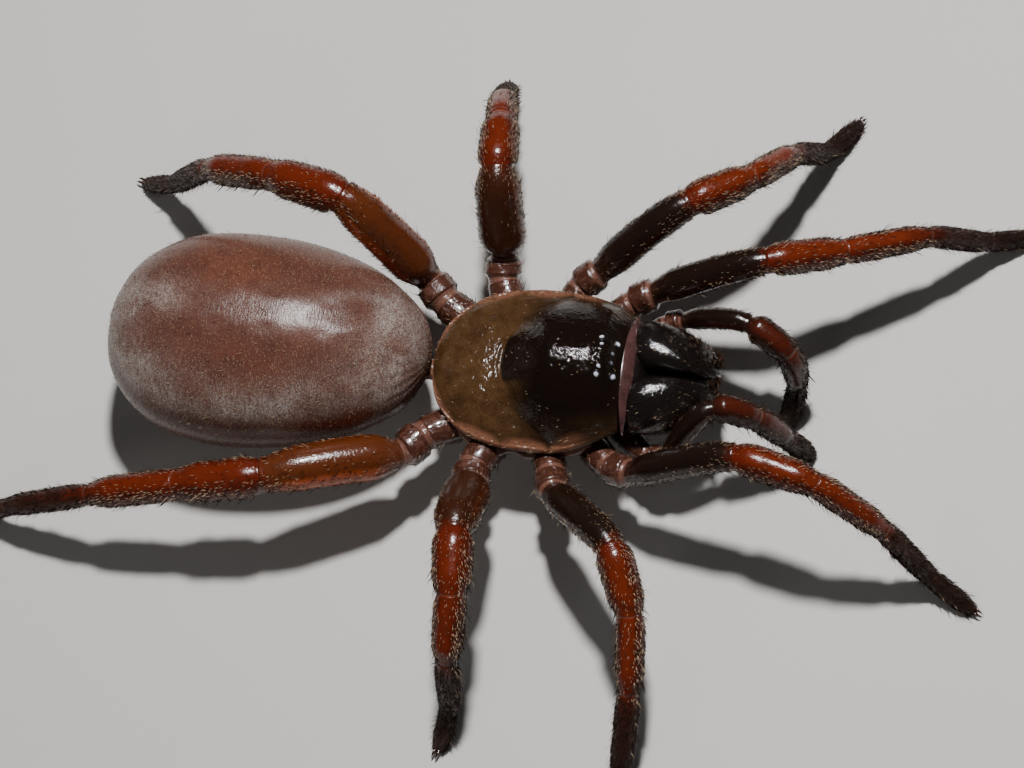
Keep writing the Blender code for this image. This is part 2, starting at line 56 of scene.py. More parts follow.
MM = 0.001
STANCE = np.array((2.13, 1.408, 0.0))
SEED = 7
ABDOMEN_SEED = 10
STERNUM_SEED = 20
LEG_SEED = 30
PALP_SEED = 50
SIDES = {"L": 1.0, "R": -1.0}

# Carapace, as in the solid
CARAPACE_REAR = -4.05
CARAPACE_FRONT = 3.78
CARAPACE_HALF_WIDTH = 3.42
CARAPACE_WIDEST_AT = 0.6
CARAPACE_MARGIN = 3.78
FOVEA_AT = -1.2
THORAX_HEIGHT = 1.08
CAPUT_HEIGHT = 1.45
CREST_HEIGHT = 0.09
MOUND_HEIGHT = 0.16
FOVEA_DEPTH = 0.13
FURROW_DEPTH = 0.055
FURROW_ANGLES = (28.0, 72.0, 112.0)
RIM_LOBE_LENGTH = 1.95
FACE_SHARES = (0.2, 0.5, 0.8, 0.95)
FOLD_REACH = 2.5
FOLD_HALF_WIDTH = 0.25
EYE_MOUND_AT = 3.2
EYES = {
    "ame": (0.18, 0.19, 0.11),
    "ale": (0.27, 0.65, 0.15),
    "pme": (-0.20, 0.43, 0.10),
    "ple": (-0.25, 0.73, 0.13),
}
EYE_PROUD = 0.45

# Chelicerae; the fang's groove is at a turn in degrees, where 270 is straight down
JAW_BACK = 3.88
JAW_LENGTH = 3.42
JAW_HALF_WIDTH = 1.175
JAW_TOP = 5.4
JAW_BOTTOM = 2.75
FANG_GROOVE_AT = 262.0
FANG_POINTS = (
    (7.0, 0.75, 2.42), (6.55, 0.72, 2.25), (5.9, 0.68, 2.2), (5.2, 0.62, 2.28), (4.7, 0.58, 2.4),
)
FANG_RADII = ((0.0, 0.21), (0.25, 0.24), (0.6, 0.17), (1.0, 0.02))
TUBE_BEND = 9.0

# Abdomen and waist; pits and lung covers are in shares of its half sizes
ABDOMEN_MIDDLE = np.array((-10.72, 0.11, 4.25))
ABDOMEN_HALF = np.array((6.62, 4.3, 3.85))
ABDOMEN_EGG = 0.13
ABDOMEN_BLUNTNESS = 0.125
HIDE_SHARE = 0.995
WAIST_AXIS = (0.955, -0.02, -0.295)
MUSCLE_PITS = ((0.45, 0.16), (0.12, 0.20), (-0.20, 0.18))
LUNGS_AHEAD = (0.66, 0.36)
LUNGS_OUT = 0.42
PEDICEL_POINTS = ((-2.85, 0.0, 3.0), (-3.6, 0.0, 3.05), (-4.35, -0.05, 3.12))
PEDICEL_RADIUS = 0.4
SPINNERET_MIDLINE = 0.11
SPINNERET_POINTS = ((-16.35, 0.38, 2.3), (-16.95, 0.5, 1.87), (-17.3, 0.55, 1.7))
SPINNERET_RADII = (
    (0.0, 0.30), (0.35, 0.34), (0.42, 0.28), (0.5, 0.30), (0.7, 0.27), (0.76, 0.21), (0.95, 0.17),
    (1.0, 0.06),
)
INNER_SPINNERET_POINTS = ((-16.25, 0.16, 2.05), (-16.6, 0.16, 1.72), (-16.85, 0.16, 1.6))
INNER_SPINNERET_RADII = ((0.0, 0.14), (0.6, 0.15), (1.0, 0.05))

# Legs: lengths and greatest radii of trochanter, femur, patella, tibia, metatarsus and tarsus
LEG_LENGTHS = {
    1: (1.1, 5.2, 3.3, 3.6, 3.4, 1.9),
    2: (1.1, 4.8, 2.8, 3.1, 3.2, 1.8),
    3: (0.95, 4.1, 2.5, 2.75, 3.1, 1.8),
    4: (1.15, 5.6, 3.6, 3.9, 4.5, 2.1),
}
LEG_RADII = {
    1: (0.70, 0.66, 0.68, 0.55, 0.43, 0.37),
    2: (0.72, 0.72, 0.74, 0.57, 0.44, 0.37),
    3: (0.80, 0.98, 0.82, 0.64, 0.45, 0.37),
    4: (0.82, 0.97, 0.86, 0.68, 0.47, 0.37),
}
COXA_STARTS = {
    1: (1.45, 1.45, 2.5),
    2: (0.45, 1.6, 2.5),
    3: (-0.85, 1.6, 2.5),
    4: (-1.95, 1.4, 2.55),
}
COXA_ENDS = {
    1: (3.45, 3.5, 3.2),
    2: (1.2, 4.05, 3.15),
    3: (-2.0, 4.05, 3.2),
    4: (-4.18, 2.87, 3.2),
}
LEG_POSE = {
    "L1": ((14, 32), (9, 27), (23, -24), (25, -19), (25, -48), 25),
    "L2": ((27, 31), (32, 30), (35, -15), (58, -39), (56, -60), 58),
    "L3": ((86, 26), (93, 57), (97, -14), (106, -46), (109, -59), 111),
    "L4": ((131, 8), (155, 56), (162, -14), (165, -29), (163, -55), 162),
    "R1": ((-22, 22), (2, 32), (-14, -2), (-17, -44), (-25, -58), -29),
    "R2": ((-73, 28), (-41, 32), (-68, -24), (-89, -34), (-97, -40), -97),
    "R3": ((-77, 20), (-84, 46), (-85, -9), (-94, -37), (-104, -72), -110),
    "R4": ((-124, 8), (-158.5, 17), (-171.5, -6), (-173, -13), (-178, -27), -178),
}
PALP_LENGTHS = (0.8, 3.25, 2.0, 2.25, 1.9)
PALP_RADII = (0.52, 0.45, 0.58, 0.52, 0.42)
MAXILLA_START = (2.5, 0.85, 2.35)
MAXILLA_END = (4.85, 2.8, 2.85)
PALP_POSE = {
    "L": ((7, 23), (-10, 29), (-27, -22), (-70, -78), -112),
    "R": ((-4, 12), (40, 43), (3, -36), (-4, -64), 10),
}
LEG_START_RADIUS = 0.46
PALP_START_RADIUS = 0.42
FOOT_TIP_RADIUS = 0.27
PALP_TIP_RADIUS = 0.3
FLOOR_FLAT_DEPTH = 0.045
SWELLINGS = ((0.22, 1.0), (0.72, 0.96))
JOINT_PINCHES = (0.84, 0.76, 0.86, 0.93, 0.92, 0.94)
FEMUR_RUN = 2
FEMUR_BOW = 0.3
SEGMENTS = 7.0

# Stage: what the camera looks at, and the directions from there to it and to the picture's right
LOOK_AT = (-0.695, -0.782, 4.2)
TO_CAMERA = (0.18, -0.36, 0.9155)
TO_RIGHT = (0.9837, 0.0659, -0.1675)
CAMERA_TURN = 5.0
SENSOR_WIDTH = 36.0
FLOOR_RADIUS = 2.0
SKY_COLOUR = (0.93, 0.95, 1.0, 1.0)

# Lights: offset from what the camera looks at, width and height, in metres
LIGHTS = {
    "key": ((0.014, 0.045, 0.1425), 0.013, 0.013),
    "fill": ((-0.060, -0.160, 0.090), 0.120, 0.080),
}


def mirrored(point, sign):
    """The point itself on the left side, or its mirror image on the right."""
    return np.array((point[0], sign * point[1], point[2]))


def ease(value):
    """Rises from 0 to 1 as value does: three times its square less twice its cube."""
    value = np.clip(value, 0.0, 1.0)
    return value * value * (3.0 - 2.0 * value)


def eased_between(knots, at):
    """The value at each place, eased from knot to knot; knots are (place, value) in order."""
    places, values = np.array(knots, float).T
    at = np.asarray(at, float)
    index = np.clip(np.searchsorted(places, at, side="right") - 1, 0, len(places) - 2)
    share = (at - places[index]) / (places[index + 1] - places[index])
    return values[index] + (values[index + 1] - values[index]) * ease(share)


def bump_at(distance, width):
    """A bell: e to the minus square of distance over width."""
    return np.exp(-((distance / width) ** 2))


def unit(vectors):
    """The vectors over their own lengths."""
    return vectors / np.maximum(np.linalg.norm(vectors, axis=-1, keepdims=True), 1e-12)


def heading(turn, climb):
    """Unit vector at a turn about Z from +X and a climb above the floor's plane, in degrees."""
    turn, climb = math.radians(turn), math.radians(climb)
    level = math.cos(climb)
    return np.array((level * math.cos(turn), level * math.sin(turn), math.sin(climb)))


def whole_turn(columns):
    """Angles evenly round a circle, from 0 and short of a whole turn by one step."""
    return np.linspace(0, 2 * np.pi, columns, endpoint=False)


def spokes(axis, turn):
    """The axis as a unit vector, and for each turn about it the unit vector square to it."""
    axis = unit(np.array(axis, float))
    side = unit(np.cross(axis, (0.31, 0.17, 0.93)))
    over = np.cross(axis, side)
    return axis, np.cos(turn)[..., None] * side + np.sin(turn)[..., None] * over


class Path:
    """Straight runs whose corners are rounded by a parabola over a reach each way. A limb's femur
    also bows up by a parabola over its run."""

    def __init__(self, corners, bend=0.85, bow=0.0):
        self.corners = np.array(corners, float)
        self.bow = bow
        self.runs = np.linalg.norm(np.diff(self.corners, axis=0), axis=1)
        self.marks = np.concatenate(([0.0], np.cumsum(self.runs)))
        self.bend = bend

    def straight(self, at):
        """Points at distances along the runs; past an end, the end run goes on straight."""
        at = np.asarray(at, float)
        index = np.clip(np.searchsorted(self.marks, at, side="right") - 1, 0, len(self.runs) - 1)
        share = ((at - self.marks[index]) / self.runs[index])[..., None]
        return self.corners[index] + share * (self.corners[index + 1] - self.corners[index])

    def points(self, at):
        """The same on the rounded path: near a corner, its start, itself and its end blend as a
        parabola."""
        at = np.asarray(at, float)
        found = self.straight(at)
        for index in range(1, len(self.marks) - 1):
            reach = min(self.bend, 0.45 * self.runs[index - 1], 0.45 * self.runs[index])
            share = (at - self.marks[index] + reach) / (2.0 * reach)
            near = ((share > 0.0) & (share < 1.0))[..., None]
            share = share[..., None]
            start = self.straight(self.marks[index] - reach)
            end = self.straight(self.marks[index] + reach)
            curve = (1 - share) ** 2 * start + 2 * share * (1 - share) * self.corners[index]
            found = np.where(near, curve + share ** 2 * end, found)
        if self.bow:
            start, end = self.marks[FEMUR_RUN:FEMUR_RUN + 2]
            share = np.clip((at - start) / (end - start), 0.0, 1.0)
            rise = 4.0 * self.bow * share * (1.0 - share)
            found = found + rise[..., None] * np.array((0.0, 0.0, 1.0))
        return found

    def frames(self, at):
        """Point, heading, back and side. The back is the part of up that is square to the
        heading."""
        at = np.asarray(at, float)
        ahead = unit(self.points(at + 0.02) - self.points(at - 0.02))
        up = np.array((0.0, 0.0, 1.0))
        back = unit(up - ahead * (ahead @ up)[..., None])
        return self.points(at), ahead, back, np.cross(back, ahead)


class Skin:
    """A closed surface over a grid: rows run along it and columns go round it and join up."""

    def __init__(self, grid, **traits):
        self.grid = np.asarray(grid, float)
        rows, columns = shape = self.grid.shape[:2]
        self.traits = {name: np.broadcast_to(value, shape) for name, value in traits.items()}
        index = np.arange(rows * columns).reshape(rows, columns)
        nexts = np.roll(index, -1, axis=1)
        corners = (index[:-1], nexts[:-1], nexts[1:], index[1:])
        self.quads = np.stack(corners, axis=-1).reshape(-1, 4)
        first, last = rows * columns, rows * columns + 1
        ends = (np.stack((nexts[0], index[0], np.full(columns, first)), axis=-1),
                np.stack((index[-1], nexts[-1], np.full(columns, last)), axis=-1))
        self.fans = np.concatenate(ends)
        flat = self.grid.reshape(-1, 3)
        self.points = np.vstack((flat, self.grid[0].mean(0), self.grid[-1].mean(0)))
        a, b, c, d = (self.points[self.quads[:, k]] - flat.mean(0) for k in range(4))
        volume = (np.cross(a, b) * c).sum() + (np.cross(a, c) * d).sum()
        self.outward = 1.0 if volume > 0.0 else -1.0
        if self.outward < 0.0:
            self.quads = self.quads[:, ::-1]
            self.fans = self.fans[:, ::-1]

    def normals(self):
        """Outward unit vectors: across one way by across the other, from neighbours in the grid."""
        along = np.gradient(self.grid, axis=0)
        around = np.roll(self.grid, -1, axis=1) - np.roll(self.grid, 1, axis=1)
        return self.outward * unit(np.cross(around, along))

    def mesh(self, name):
        """The surface as a smooth mesh in metres, with its traits as point attributes."""
        return Joined([self]).mesh(name)

    def scatter(self, count, draw, density=None):
        """Random places, as likely as their area times density(traits): root, out, along and uv."""
        grid, normals = self.grid, self.normals()
        rows, columns = grid.shape[:2]
        along = np.diff(grid, axis=0)
        across = (np.roll(grid, -1, axis=1) - grid)[:-1]
        weight = np.linalg.norm(np.cross(along, across), axis=-1)
        if density is not None:
            weight = weight * np.clip(density, 0.0, None)[:-1]
        cell = draw.choice(weight.size, count, p=weight.ravel() / weight.sum())
        row, column = np.unravel_index(cell, weight.shape)
        down, over = draw.random((2, count, 1))
        right = (column + 1) % columns

        def blended(values):
            """Values between the four corners of each drawn cell."""
            upper = values[row, column] * (1 - over) + values[row, right] * over
            lower = values[row + 1, column] * (1 - over) + values[row + 1, right] * over
            return upper * (1 - down) + lower * down

        place = np.stack(((column + over[:, 0]) / columns, (row + down[:, 0]) / rows), axis=-1)
        return blended(grid), unit(blended(normals)), unit(along[row, column]), place


class Joined:
    """Several skins as one surface, with the traits of the first."""

    def __init__(self, skins):
        self.skins = skins

    def mesh(self, name):
        """Their mesh. A trait at a skin's two end points is its mean over the ring beside them."""
        starts = np.cumsum([0] + [len(skin.points) for skin in self.skins[:-1]])
        points = np.concatenate([skin.points for skin in self.skins])
        quads = np.concatenate([skin.quads + start for skin, start in zip(self.skins, starts)])
        fans = np.concatenate([skin.fans + start for skin, start in zip(self.skins, starts)])
        mesh = mesh_of(name, points, quads, fans)
        for trait in self.skins[0].traits:
            values = []
            for grid in (skin.traits[trait] for skin in self.skins):
                values += [grid.ravel(), (grid[0].mean(), grid[-1].mean())]
            add_trait(mesh, trait, np.concatenate(values))
        return mesh


def add_trait(mesh, name, values):
    """Stores one number for each point of the mesh."""
    layer = mesh.attributes.new(name, "FLOAT", "POINT")
    layer.data.foreach_set("value", values.astype(np.float32))


def mesh_of(name, points, quads, triangles):
    """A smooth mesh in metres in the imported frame, from points in millimetres in the animal's."""
    mesh = bpy.data.meshes.new(name)
    loops = np.concatenate((quads.ravel(), triangles.ravel()))
    totals = np.concatenate((np.full(len(quads), 4), np.full(len(triangles), 3)))
    starts = np.concatenate(([0], np.cumsum(totals)[:-1]))
    mesh.vertices.add(len(points))
    mesh.vertices.foreach_set("co", ((points + STANCE) * MM).astype(np.float32).ravel())
    mesh.loops.add(len(loops))
    mesh.loops.foreach_set("vertex_index", loops.astype(np.int32))
    mesh.polygons.add(len(totals))
    mesh.polygons.foreach_set("loop_start", starts.astype(np.int32))
    mesh.polygons.foreach_set("loop_total", totals.astype(np.int32))
    mesh.update(calc_edges=True)
    mesh.validate()
    mesh.shade_smooth()
    return mesh


class Coat:
    """Thin three-sided bristles, each bent towards the lie of the coat, all in one mesh."""

    PATCH = 0.003
    SHARES = (0.0, 0.4, 0.75)

    def __init__(self, draw, shares=SHARES):
        self.draw = draw
        self.shares = shares
        self.points, self.quads, self.fans, self.places, self.tones = [], [], [], [], []
        self.count = 0

    def grow(self, place, length, thickness, rise, curl=0.5, tone=(0.0, 1.0), stray=0.25):
        """Adds a bristle at each place. Its middle line starts at an angle rise from the skin and
        turns towards the lie of the coat: root + length (t start + t squared curl (lie - start)
        / 2), and its radius is thickness times 1 less the square of t."""
        root, out, lie, uv = place
        number = len(root)
        draw = self.draw
        across = np.cross(out, lie)
        lie = unit(lie + draw.normal(0.0, stray, (number, 1)) * across)
        rise = np.radians(rise * draw.uniform(0.75, 1.25, (number, 1)))
        start = np.cos(rise) * lie + np.sin(rise) * out
        long = length * draw.uniform(0.7, 1.3, (number, 1))
        side = unit(np.cross(start, out))
        over = np.cross(side, start)
        rings = []
        for share in self.shares:
            middle = root + long * (share * start + 0.5 * curl * share ** 2 * (lie - start))
            wide = thickness * (1.0 - share ** 2)
            for turn in whole_turn(3):
                rings.append(middle + wide * (math.cos(turn) * side + math.sin(turn) * over))
        rings.append(root + long * (start + 0.5 * curl * (lie - start)))
        rings = np.stack(rings, axis=1)
        rings[..., 2] = np.maximum(rings[..., 2], 0.0)
        each = rings.shape[1]
        first = self.count + each * np.arange(number)[:, None]
        ring = np.arange(3)
        turned = np.roll(ring, -1)
        quads = np.stack((ring, turned, turned + 3, ring + 3), axis=-1)
        quads = np.concatenate([quads + 3 * step for step in range(len(self.shares) - 1)])
        last = each - 4
        point = np.stack((ring + last, turned + last, np.full(3, each - 1)), axis=-1)
        fans = np.vstack((point, ((2, 1, 0),)))
        self.quads.append((first[:, :, None] + quads).reshape(-1, 4))
        self.fans.append((first[:, :, None] + fans).reshape(-1, 3))
        self.points.append(rings.reshape(-1, 3))
        inside = [(share, 0.5 * corner) for share in self.shares for corner in range(3)]
        inside = np.array(inside + [(1.0, 0.5)])
        uv = 0.004 + 0.99 * uv
        self.places.append((uv[:, None, :] + self.PATCH * (inside - 0.5)).reshape(-1, 2))
        tones = draw.uniform(*tone, (number, 1)) * np.ones((1, each))
        self.tones.append(tones.ravel())
        self.count += each * number
        return self

    def mesh(self, name):
        """All the bristles as one mesh. Each has its own small patch of the map, which lies at its
        root's place on the skin's unwrapped grid."""
        quads, fans = np.concatenate(self.quads), np.concatenate(self.fans)
        mesh = mesh_of(name, np.concatenate(self.points), quads, fans)
        add_trait(mesh, "tone", np.concatenate(self.tones))
        corners = np.empty(len(mesh.loops), np.int32)
        mesh.loops.foreach_get("vertex_index", corners)
        flat = mesh.uv_layers.new(name="OFBake")
        flat.data.foreach_set("uv", np.concatenate(self.places)[corners].astype(np.float32).ravel())
        return mesh


class Value:
    """A shader socket. An operator on it adds a Math node, and so does its reflected form."""

    def __init__(self, finish, socket):
        self.finish = finish
        self.socket = socket

    def math(self, operation, other):
        """A Math node on this socket and another socket or a number."""
        return self.finish.node("ShaderNodeMath", {0: self, 1: other}, operation=operation)

    def __add__(self, other):
        return self.math("ADD", other)

    def __mul__(self, other):
        return self.math("MULTIPLY", other)

    def __sub__(self, other):
        return self.math("SUBTRACT", other)

    def __rsub__(self, other):
        return self * -1.0 + other

    __radd__ = __add__
    __rmul__ = __mul__

    def above(self, low, high):
        """0 below low, 1 above high, and eased between."""
        sockets = {"Value": self, "From Min": low, "From Max": high}
        return self.finish.node("ShaderNodeMapRange", sockets, interpolation_type="SMOOTHSTEP")


class Finish:
    """A procedural material. Lengths given to its patterns are in millimetres."""

    def __init__(self, name):
        self.material = bpy.data.materials.new(name)
        self.material.use_nodes = True
        self.tree = self.material.node_tree
        self.shader = self.tree.nodes["Principled BSDF"]
        self.coordinates = self.node("ShaderNodeTexCoord", output="Object")

    def feed(self, socket, value):
        """Links a Value to the socket, or sets a colour, vector or number on it."""
        if isinstance(value, Value):
            self.tree.links.new(value.socket, socket)
        elif socket.type == "RGBA":
            socket.default_value = (*value, 1.0)
        else:
            socket.default_value = value

    def node(self, kind, sockets=None, output=0, stops=None, **settings):
        """Any node: its settings and a ramp's stops first, then its sockets' values or links."""
        node = self.tree.nodes.new(kind)
        for name, value in settings.items():
            setattr(node, name, value)
        if stops:
            ramp = node.color_ramp
            for place, colour in stops[2:]:
                ramp.elements.new(place)
            for element, (place, colour) in zip(ramp.elements, sorted(stops)):
                element.position = place
                element.color = (*colour, 1.0)
        for name, value in (sockets or {}).items():
            self.feed(node.inputs[name], value)
        return Value(self, node.outputs[output])

    def stretched(self, scale, turn=0.0):
        """Object coordinates stretched by a factor along each axis, after a turn about Z."""
        sockets = {"Vector": self.coordinates, "Scale": scale, "Rotation": (0.0, 0.0, turn)}
        return self.node("ShaderNodeMapping", sockets, vector_type="POINT")

    def noise(self, size, detail=2.0, roughness=0.5, distortion=0.0, vector=None):
        """Clouds of a size, about 0.5 in the middle of their range."""
        sockets = {
            "Vector": vector or self.coordinates,
            "Scale": 1.0 / (size * MM),
            "Detail": detail,
            "Roughness": roughness,
            "Distortion": distortion,
        }
        return self.node("ShaderNodeTexNoise", sockets)

    def cells(self, size):
        """Distance from the middle of the nearest cell."""
        sockets = {"Vector": self.coordinates, "Scale": 1.0 / (size * MM)}
        return self.node("ShaderNodeTexVoronoi", sockets)

    def trait(self, name):
        """The skin's own number of that name."""
        return self.node("ShaderNodeAttribute", output="Fac", attribute_name=name)

    def mix(self, factor, first, second):
        """The first colour where the factor is 0, and the second where it is 1."""
        sockets = {0: factor, 6: first, 7: second}
        return self.node("ShaderNodeMix", sockets, output=2, data_type="RGBA")

    def ramp(self, factor, stops):
        """Straight runs between coloured stops. The first two stops given are a ramp's own."""
        return self.node("ShaderNodeValToRGB", {"Fac": factor}, stops=stops)

    def bump(self, height, depth, strength=1.0, normal=None):
        """A Bump node whose height of 1 stands depth millimetres out."""
        sockets = {"Height": height, "Distance": depth * MM, "Strength": strength}
        if normal is not None:
            sockets["Normal"] = normal
        return self.node("ShaderNodeBump", sockets)

    def wear(self, **sockets):
        """Feeds the Principled shader; words joined by _ name its sockets."""
        for name, value in sockets.items():
            self.feed(self.shader.inputs[name.replace("_", " ")], value)
        return self.material


def add_piece(name, surface, material, nodes=()):
    """Puts a surface's mesh in the scene as a finished piece, riding the model's one body."""
    mesh = surface.mesh(name)
    piece = bpy.data.objects.new(name, mesh)
    bpy.context.scene.collection.objects.link(piece)
    mesh.materials.append(material)
    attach(piece, "root")
    if nodes:
        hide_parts(*nodes)
    return piece


def colour_setting(label, colour):
    """A colour as linear red, green and blue."""
    return bpy.props.FloatVectorProperty(
        name=label, description=label, subtype="COLOR", size=3, min=0.0, max=1.0, default=colour
    )


def share_setting(label, share):
    """A number from 0 to 1."""
    return bpy.props.FloatProperty(
        name=label, description=label, subtype="FACTOR", min=0.0, max=1.0, default=share
    )


def length_setting(label, millimetres):
    """A length, given here in millimetres and kept in metres."""
    length = millimetres * MM
    return bpy.props.FloatProperty(
        name=label, description=label, unit="LENGTH", min=0.0, precision=5, default=length
    )


def count_setting(label, count):
    """A whole number."""
    return bpy.props.IntProperty(name=label, description=label, min=0, default=count)


def power_setting(label, watts):
    """A light's power."""
    return bpy.props.FloatProperty(name=label, description=label, unit="POWER", default=watts)


class SpiderColours(bpy.types.PropertyGroup):
    head: colour_setting("Front of the carapace", (0.0065, 0.0032, 0.0020))
    thorax: colour_setting("Rear of the carapace", (0.064, 0.031, 0.012))
    rim: colour_setting("Edge of the carapace, and soft skin below", (0.17, 0.072, 0.042))
    jaw: colour_setting("Chelicerae", (0.004, 0.003, 0.003))
    fang: colour_setting("Fangs and claws", (0.020, 0.006, 0.003))
    # Partly the eyes' own pearly colour and partly a painted highlight.
    lens: colour_setting("Pearly middle of an eye", (0.80, 0.82, 0.95))
    abdomen: colour_setting("Skin of the abdomen", (0.084, 0.030, 0.021))
    abdomen_warm: colour_setting("Redder patches on the abdomen", (0.104, 0.034, 0.021))
    abdomen_dark: colour_setting("Duller patches on the abdomen", (0.050, 0.018, 0.013))
    # Painted sheen: the silvery bloom stands in for highlights on the abdomen.
    painted_sheen: colour_setting("Silvery bloom on the abdomen", (0.38, 0.345, 0.325))
    hair: colour_setting("Short hairs of the abdomen", (0.42, 0.30, 0.16))
    membrane: colour_setting("Soft skin at the joints", (0.165, 0.072, 0.050))
    coxa: colour_setting("Coxae and trochanters", (0.052, 0.017, 0.010))
    front_femur: colour_setting("Femora of legs 1 and 2 and the palps", (0.010, 0.0045, 0.0025))
    hind_femur: colour_setting("Femora of leg 4, and part of leg 3's", (0.082, 0.019, 0.005))
    # Painted glow: light shining through the femora's clear sides is painted into this colour.
    amber_glow: colour_setting("Clear amber sides of the femora", (0.36, 0.052, 0.0015))
    shin: colour_setting("Patellae and tibiae", (0.085, 0.0085, 0.0022))
    # Painted light: a lighter colour along the top of the patellae and tibiae, on the bald stripe.
    back: colour_setting("Bald stripe along them", (0.125, 0.016, 0.003))
    foot: colour_setting("Outer segments of legs 1 and 2 and the palps", (0.016, 0.0065, 0.004))
    hind_foot: colour_setting("Outer segments of legs 3 and 4", (0.034, 0.0085, 0.0035))
    palp: colour_setting("Patellae and tibiae of the palps", (0.026, 0.0055, 0.0030))
    bristle: colour_setting("Dark bristles", (0.026, 0.011, 0.006))
    # Partly the bristles' own pale colour and partly painted glints.
    pale_glint_bristle: colour_setting("Bristles that catch the light", (0.52, 0.37, 0.24))
    sternum: colour_setting("Sternum and labium", (0.17, 0.055, 0.022))


class SpiderSizes(bpy.types.PropertyGroup):
    skin_share: share_setting("Radius of a limb's skin as a share of its solid's", 0.955)
    leg_bristle: length_setting("Length of a limb's short bristles", 0.17)
    long_bristle: length_setting("Length of its longest bristles", 0.46)
    bristle_radius: length_setting("Radius of a bristle at its root", 0.0105)
    hair: length_setting("Length of the abdomen's hairs", 0.12)
    hair_radius: length_setting("Radius of the abdomen's hairs", 0.0065)
    leg_bristles: count_setting("Short bristles on a leg, and on its foot", 3000)
    abdomen_hairs: count_setting("Hairs on the abdomen", 17500)


class SpiderStage(bpy.types.PropertyGroup):
    distance: length_setting("From the camera to the point it looks at", 150.0)
    lens: bpy.props.FloatProperty(name="Focal length in millimetres", default=134.47)
    key_power: power_setting("Power of the main soft light", 0.36)
    fill_power: power_setting("Power of the soft light on the far side", 0.05)
    sky: share_setting("Strength of the even light from all round", 0.06)
    floor: colour_setting("Colour of the floor", (0.54, 0.52, 0.495))


def shell_half_width(x):
    """Rounded behind its widest place: the root of 1 less a power of the way back. Ahead of it,
    drawn in by the square of the distance."""
    ahead = CARAPACE_HALF_WIDTH - 0.095 * np.clip(x - CARAPACE_WIDEST_AT, 0.0, None) ** 2
    back = np.clip((CARAPACE_WIDEST_AT - x) / (CARAPACE_WIDEST_AT - CARAPACE_REAR), 0.0, 1.0)
    return ahead * (1.0 - back ** 2.6) ** 0.45


def shell_margin(x):
    """Height of the shell's edge, eased up towards the front corners."""
    return CARAPACE_MARGIN + 0.55 * ease((x - 1.2) / 2.6)


def shell_top(x, y):
    """Height of the shell: margin, plus a low rounded thorax, plus the head's arch and crest, plus
    the eye mound, less the fovea's dip and slit and the grooves, each a bell across its line."""
    width = np.maximum(shell_half_width(x), 0.001)
    out = np.minimum(np.abs(y) / width, 1.0)
    back = np.clip(-(x + 0.3) / 3.75, 0.0, 1.0)
    thorax = THORAX_HEIGHT * np.sqrt(1.0 - back ** 2) * (1.0 - out ** 2.2) ** 0.7
    fall = 1.0 - 0.173 * (0.5 * (x - 1.1 + np.hypot(x - 1.1, 0.35))) ** 1.5
    arch = ease((x + 1.35) / 2.4) * fall * (1.0 - 0.85 * ease((x - 2.95) / 0.9))
    spread = eased_between(((-1.3, 0.5), (1.9, 0.96)), x)
    caput = CAPUT_HEIGHT * arch * (1.0 - np.minimum(out / spread, 1.0) ** 2) ** 0.85
    caput = caput + CREST_HEIGHT * np.exp(-(((x - 1.75) / 0.95) ** 2) - (y / 0.8) ** 2)
    mound = MOUND_HEIGHT * np.exp(-((x - EYE_MOUND_AT) / 0.48) ** 2 - (y / 0.8) ** 2)
    past_fovea = x - FOVEA_AT - 0.22 * y ** 2
    dip = 0.08 * np.exp(-((x - FOVEA_AT) / 0.45) ** 2 - (y / 0.8) ** 4)
    slit = FOVEA_DEPTH * bump_at(past_fovea, 0.07) * np.exp(-(y / 0.75) ** 6)
    dip = dip - 0.03 * bump_at(past_fovea + 0.17, 0.08) * np.exp(-(y / 0.7) ** 4)
    return shell_margin(x) + thorax + caput + mound - dip - slit - shell_grooves(x, y, out)


def rim_lobes(x):
    """Where the rim swells between the legs: the root of the size of a sine."""
    return np.abs(np.sin(np.pi * (x + 0.85) / RIM_LOBE_LENGTH)) ** 0.5


def shell_grooves(x, y, out):
    """Shallow furrows that run out from the fovea between the legs, and one inside the rim."""
    run = np.hypot(x - FOVEA_AT, y)
    angle = np.degrees(np.arctan2(np.abs(y), -(x - FOVEA_AT)))
    furrows = sum(bump_at(angle - middle, 7.0) for middle in FURROW_ANGLES)
    reach = ease((run - 0.7) / 0.6) * ease((1.0 - out) / 0.25)
    return FURROW_DEPTH * furrows * reach + 0.035 * bump_at(out - 0.90, 0.05)


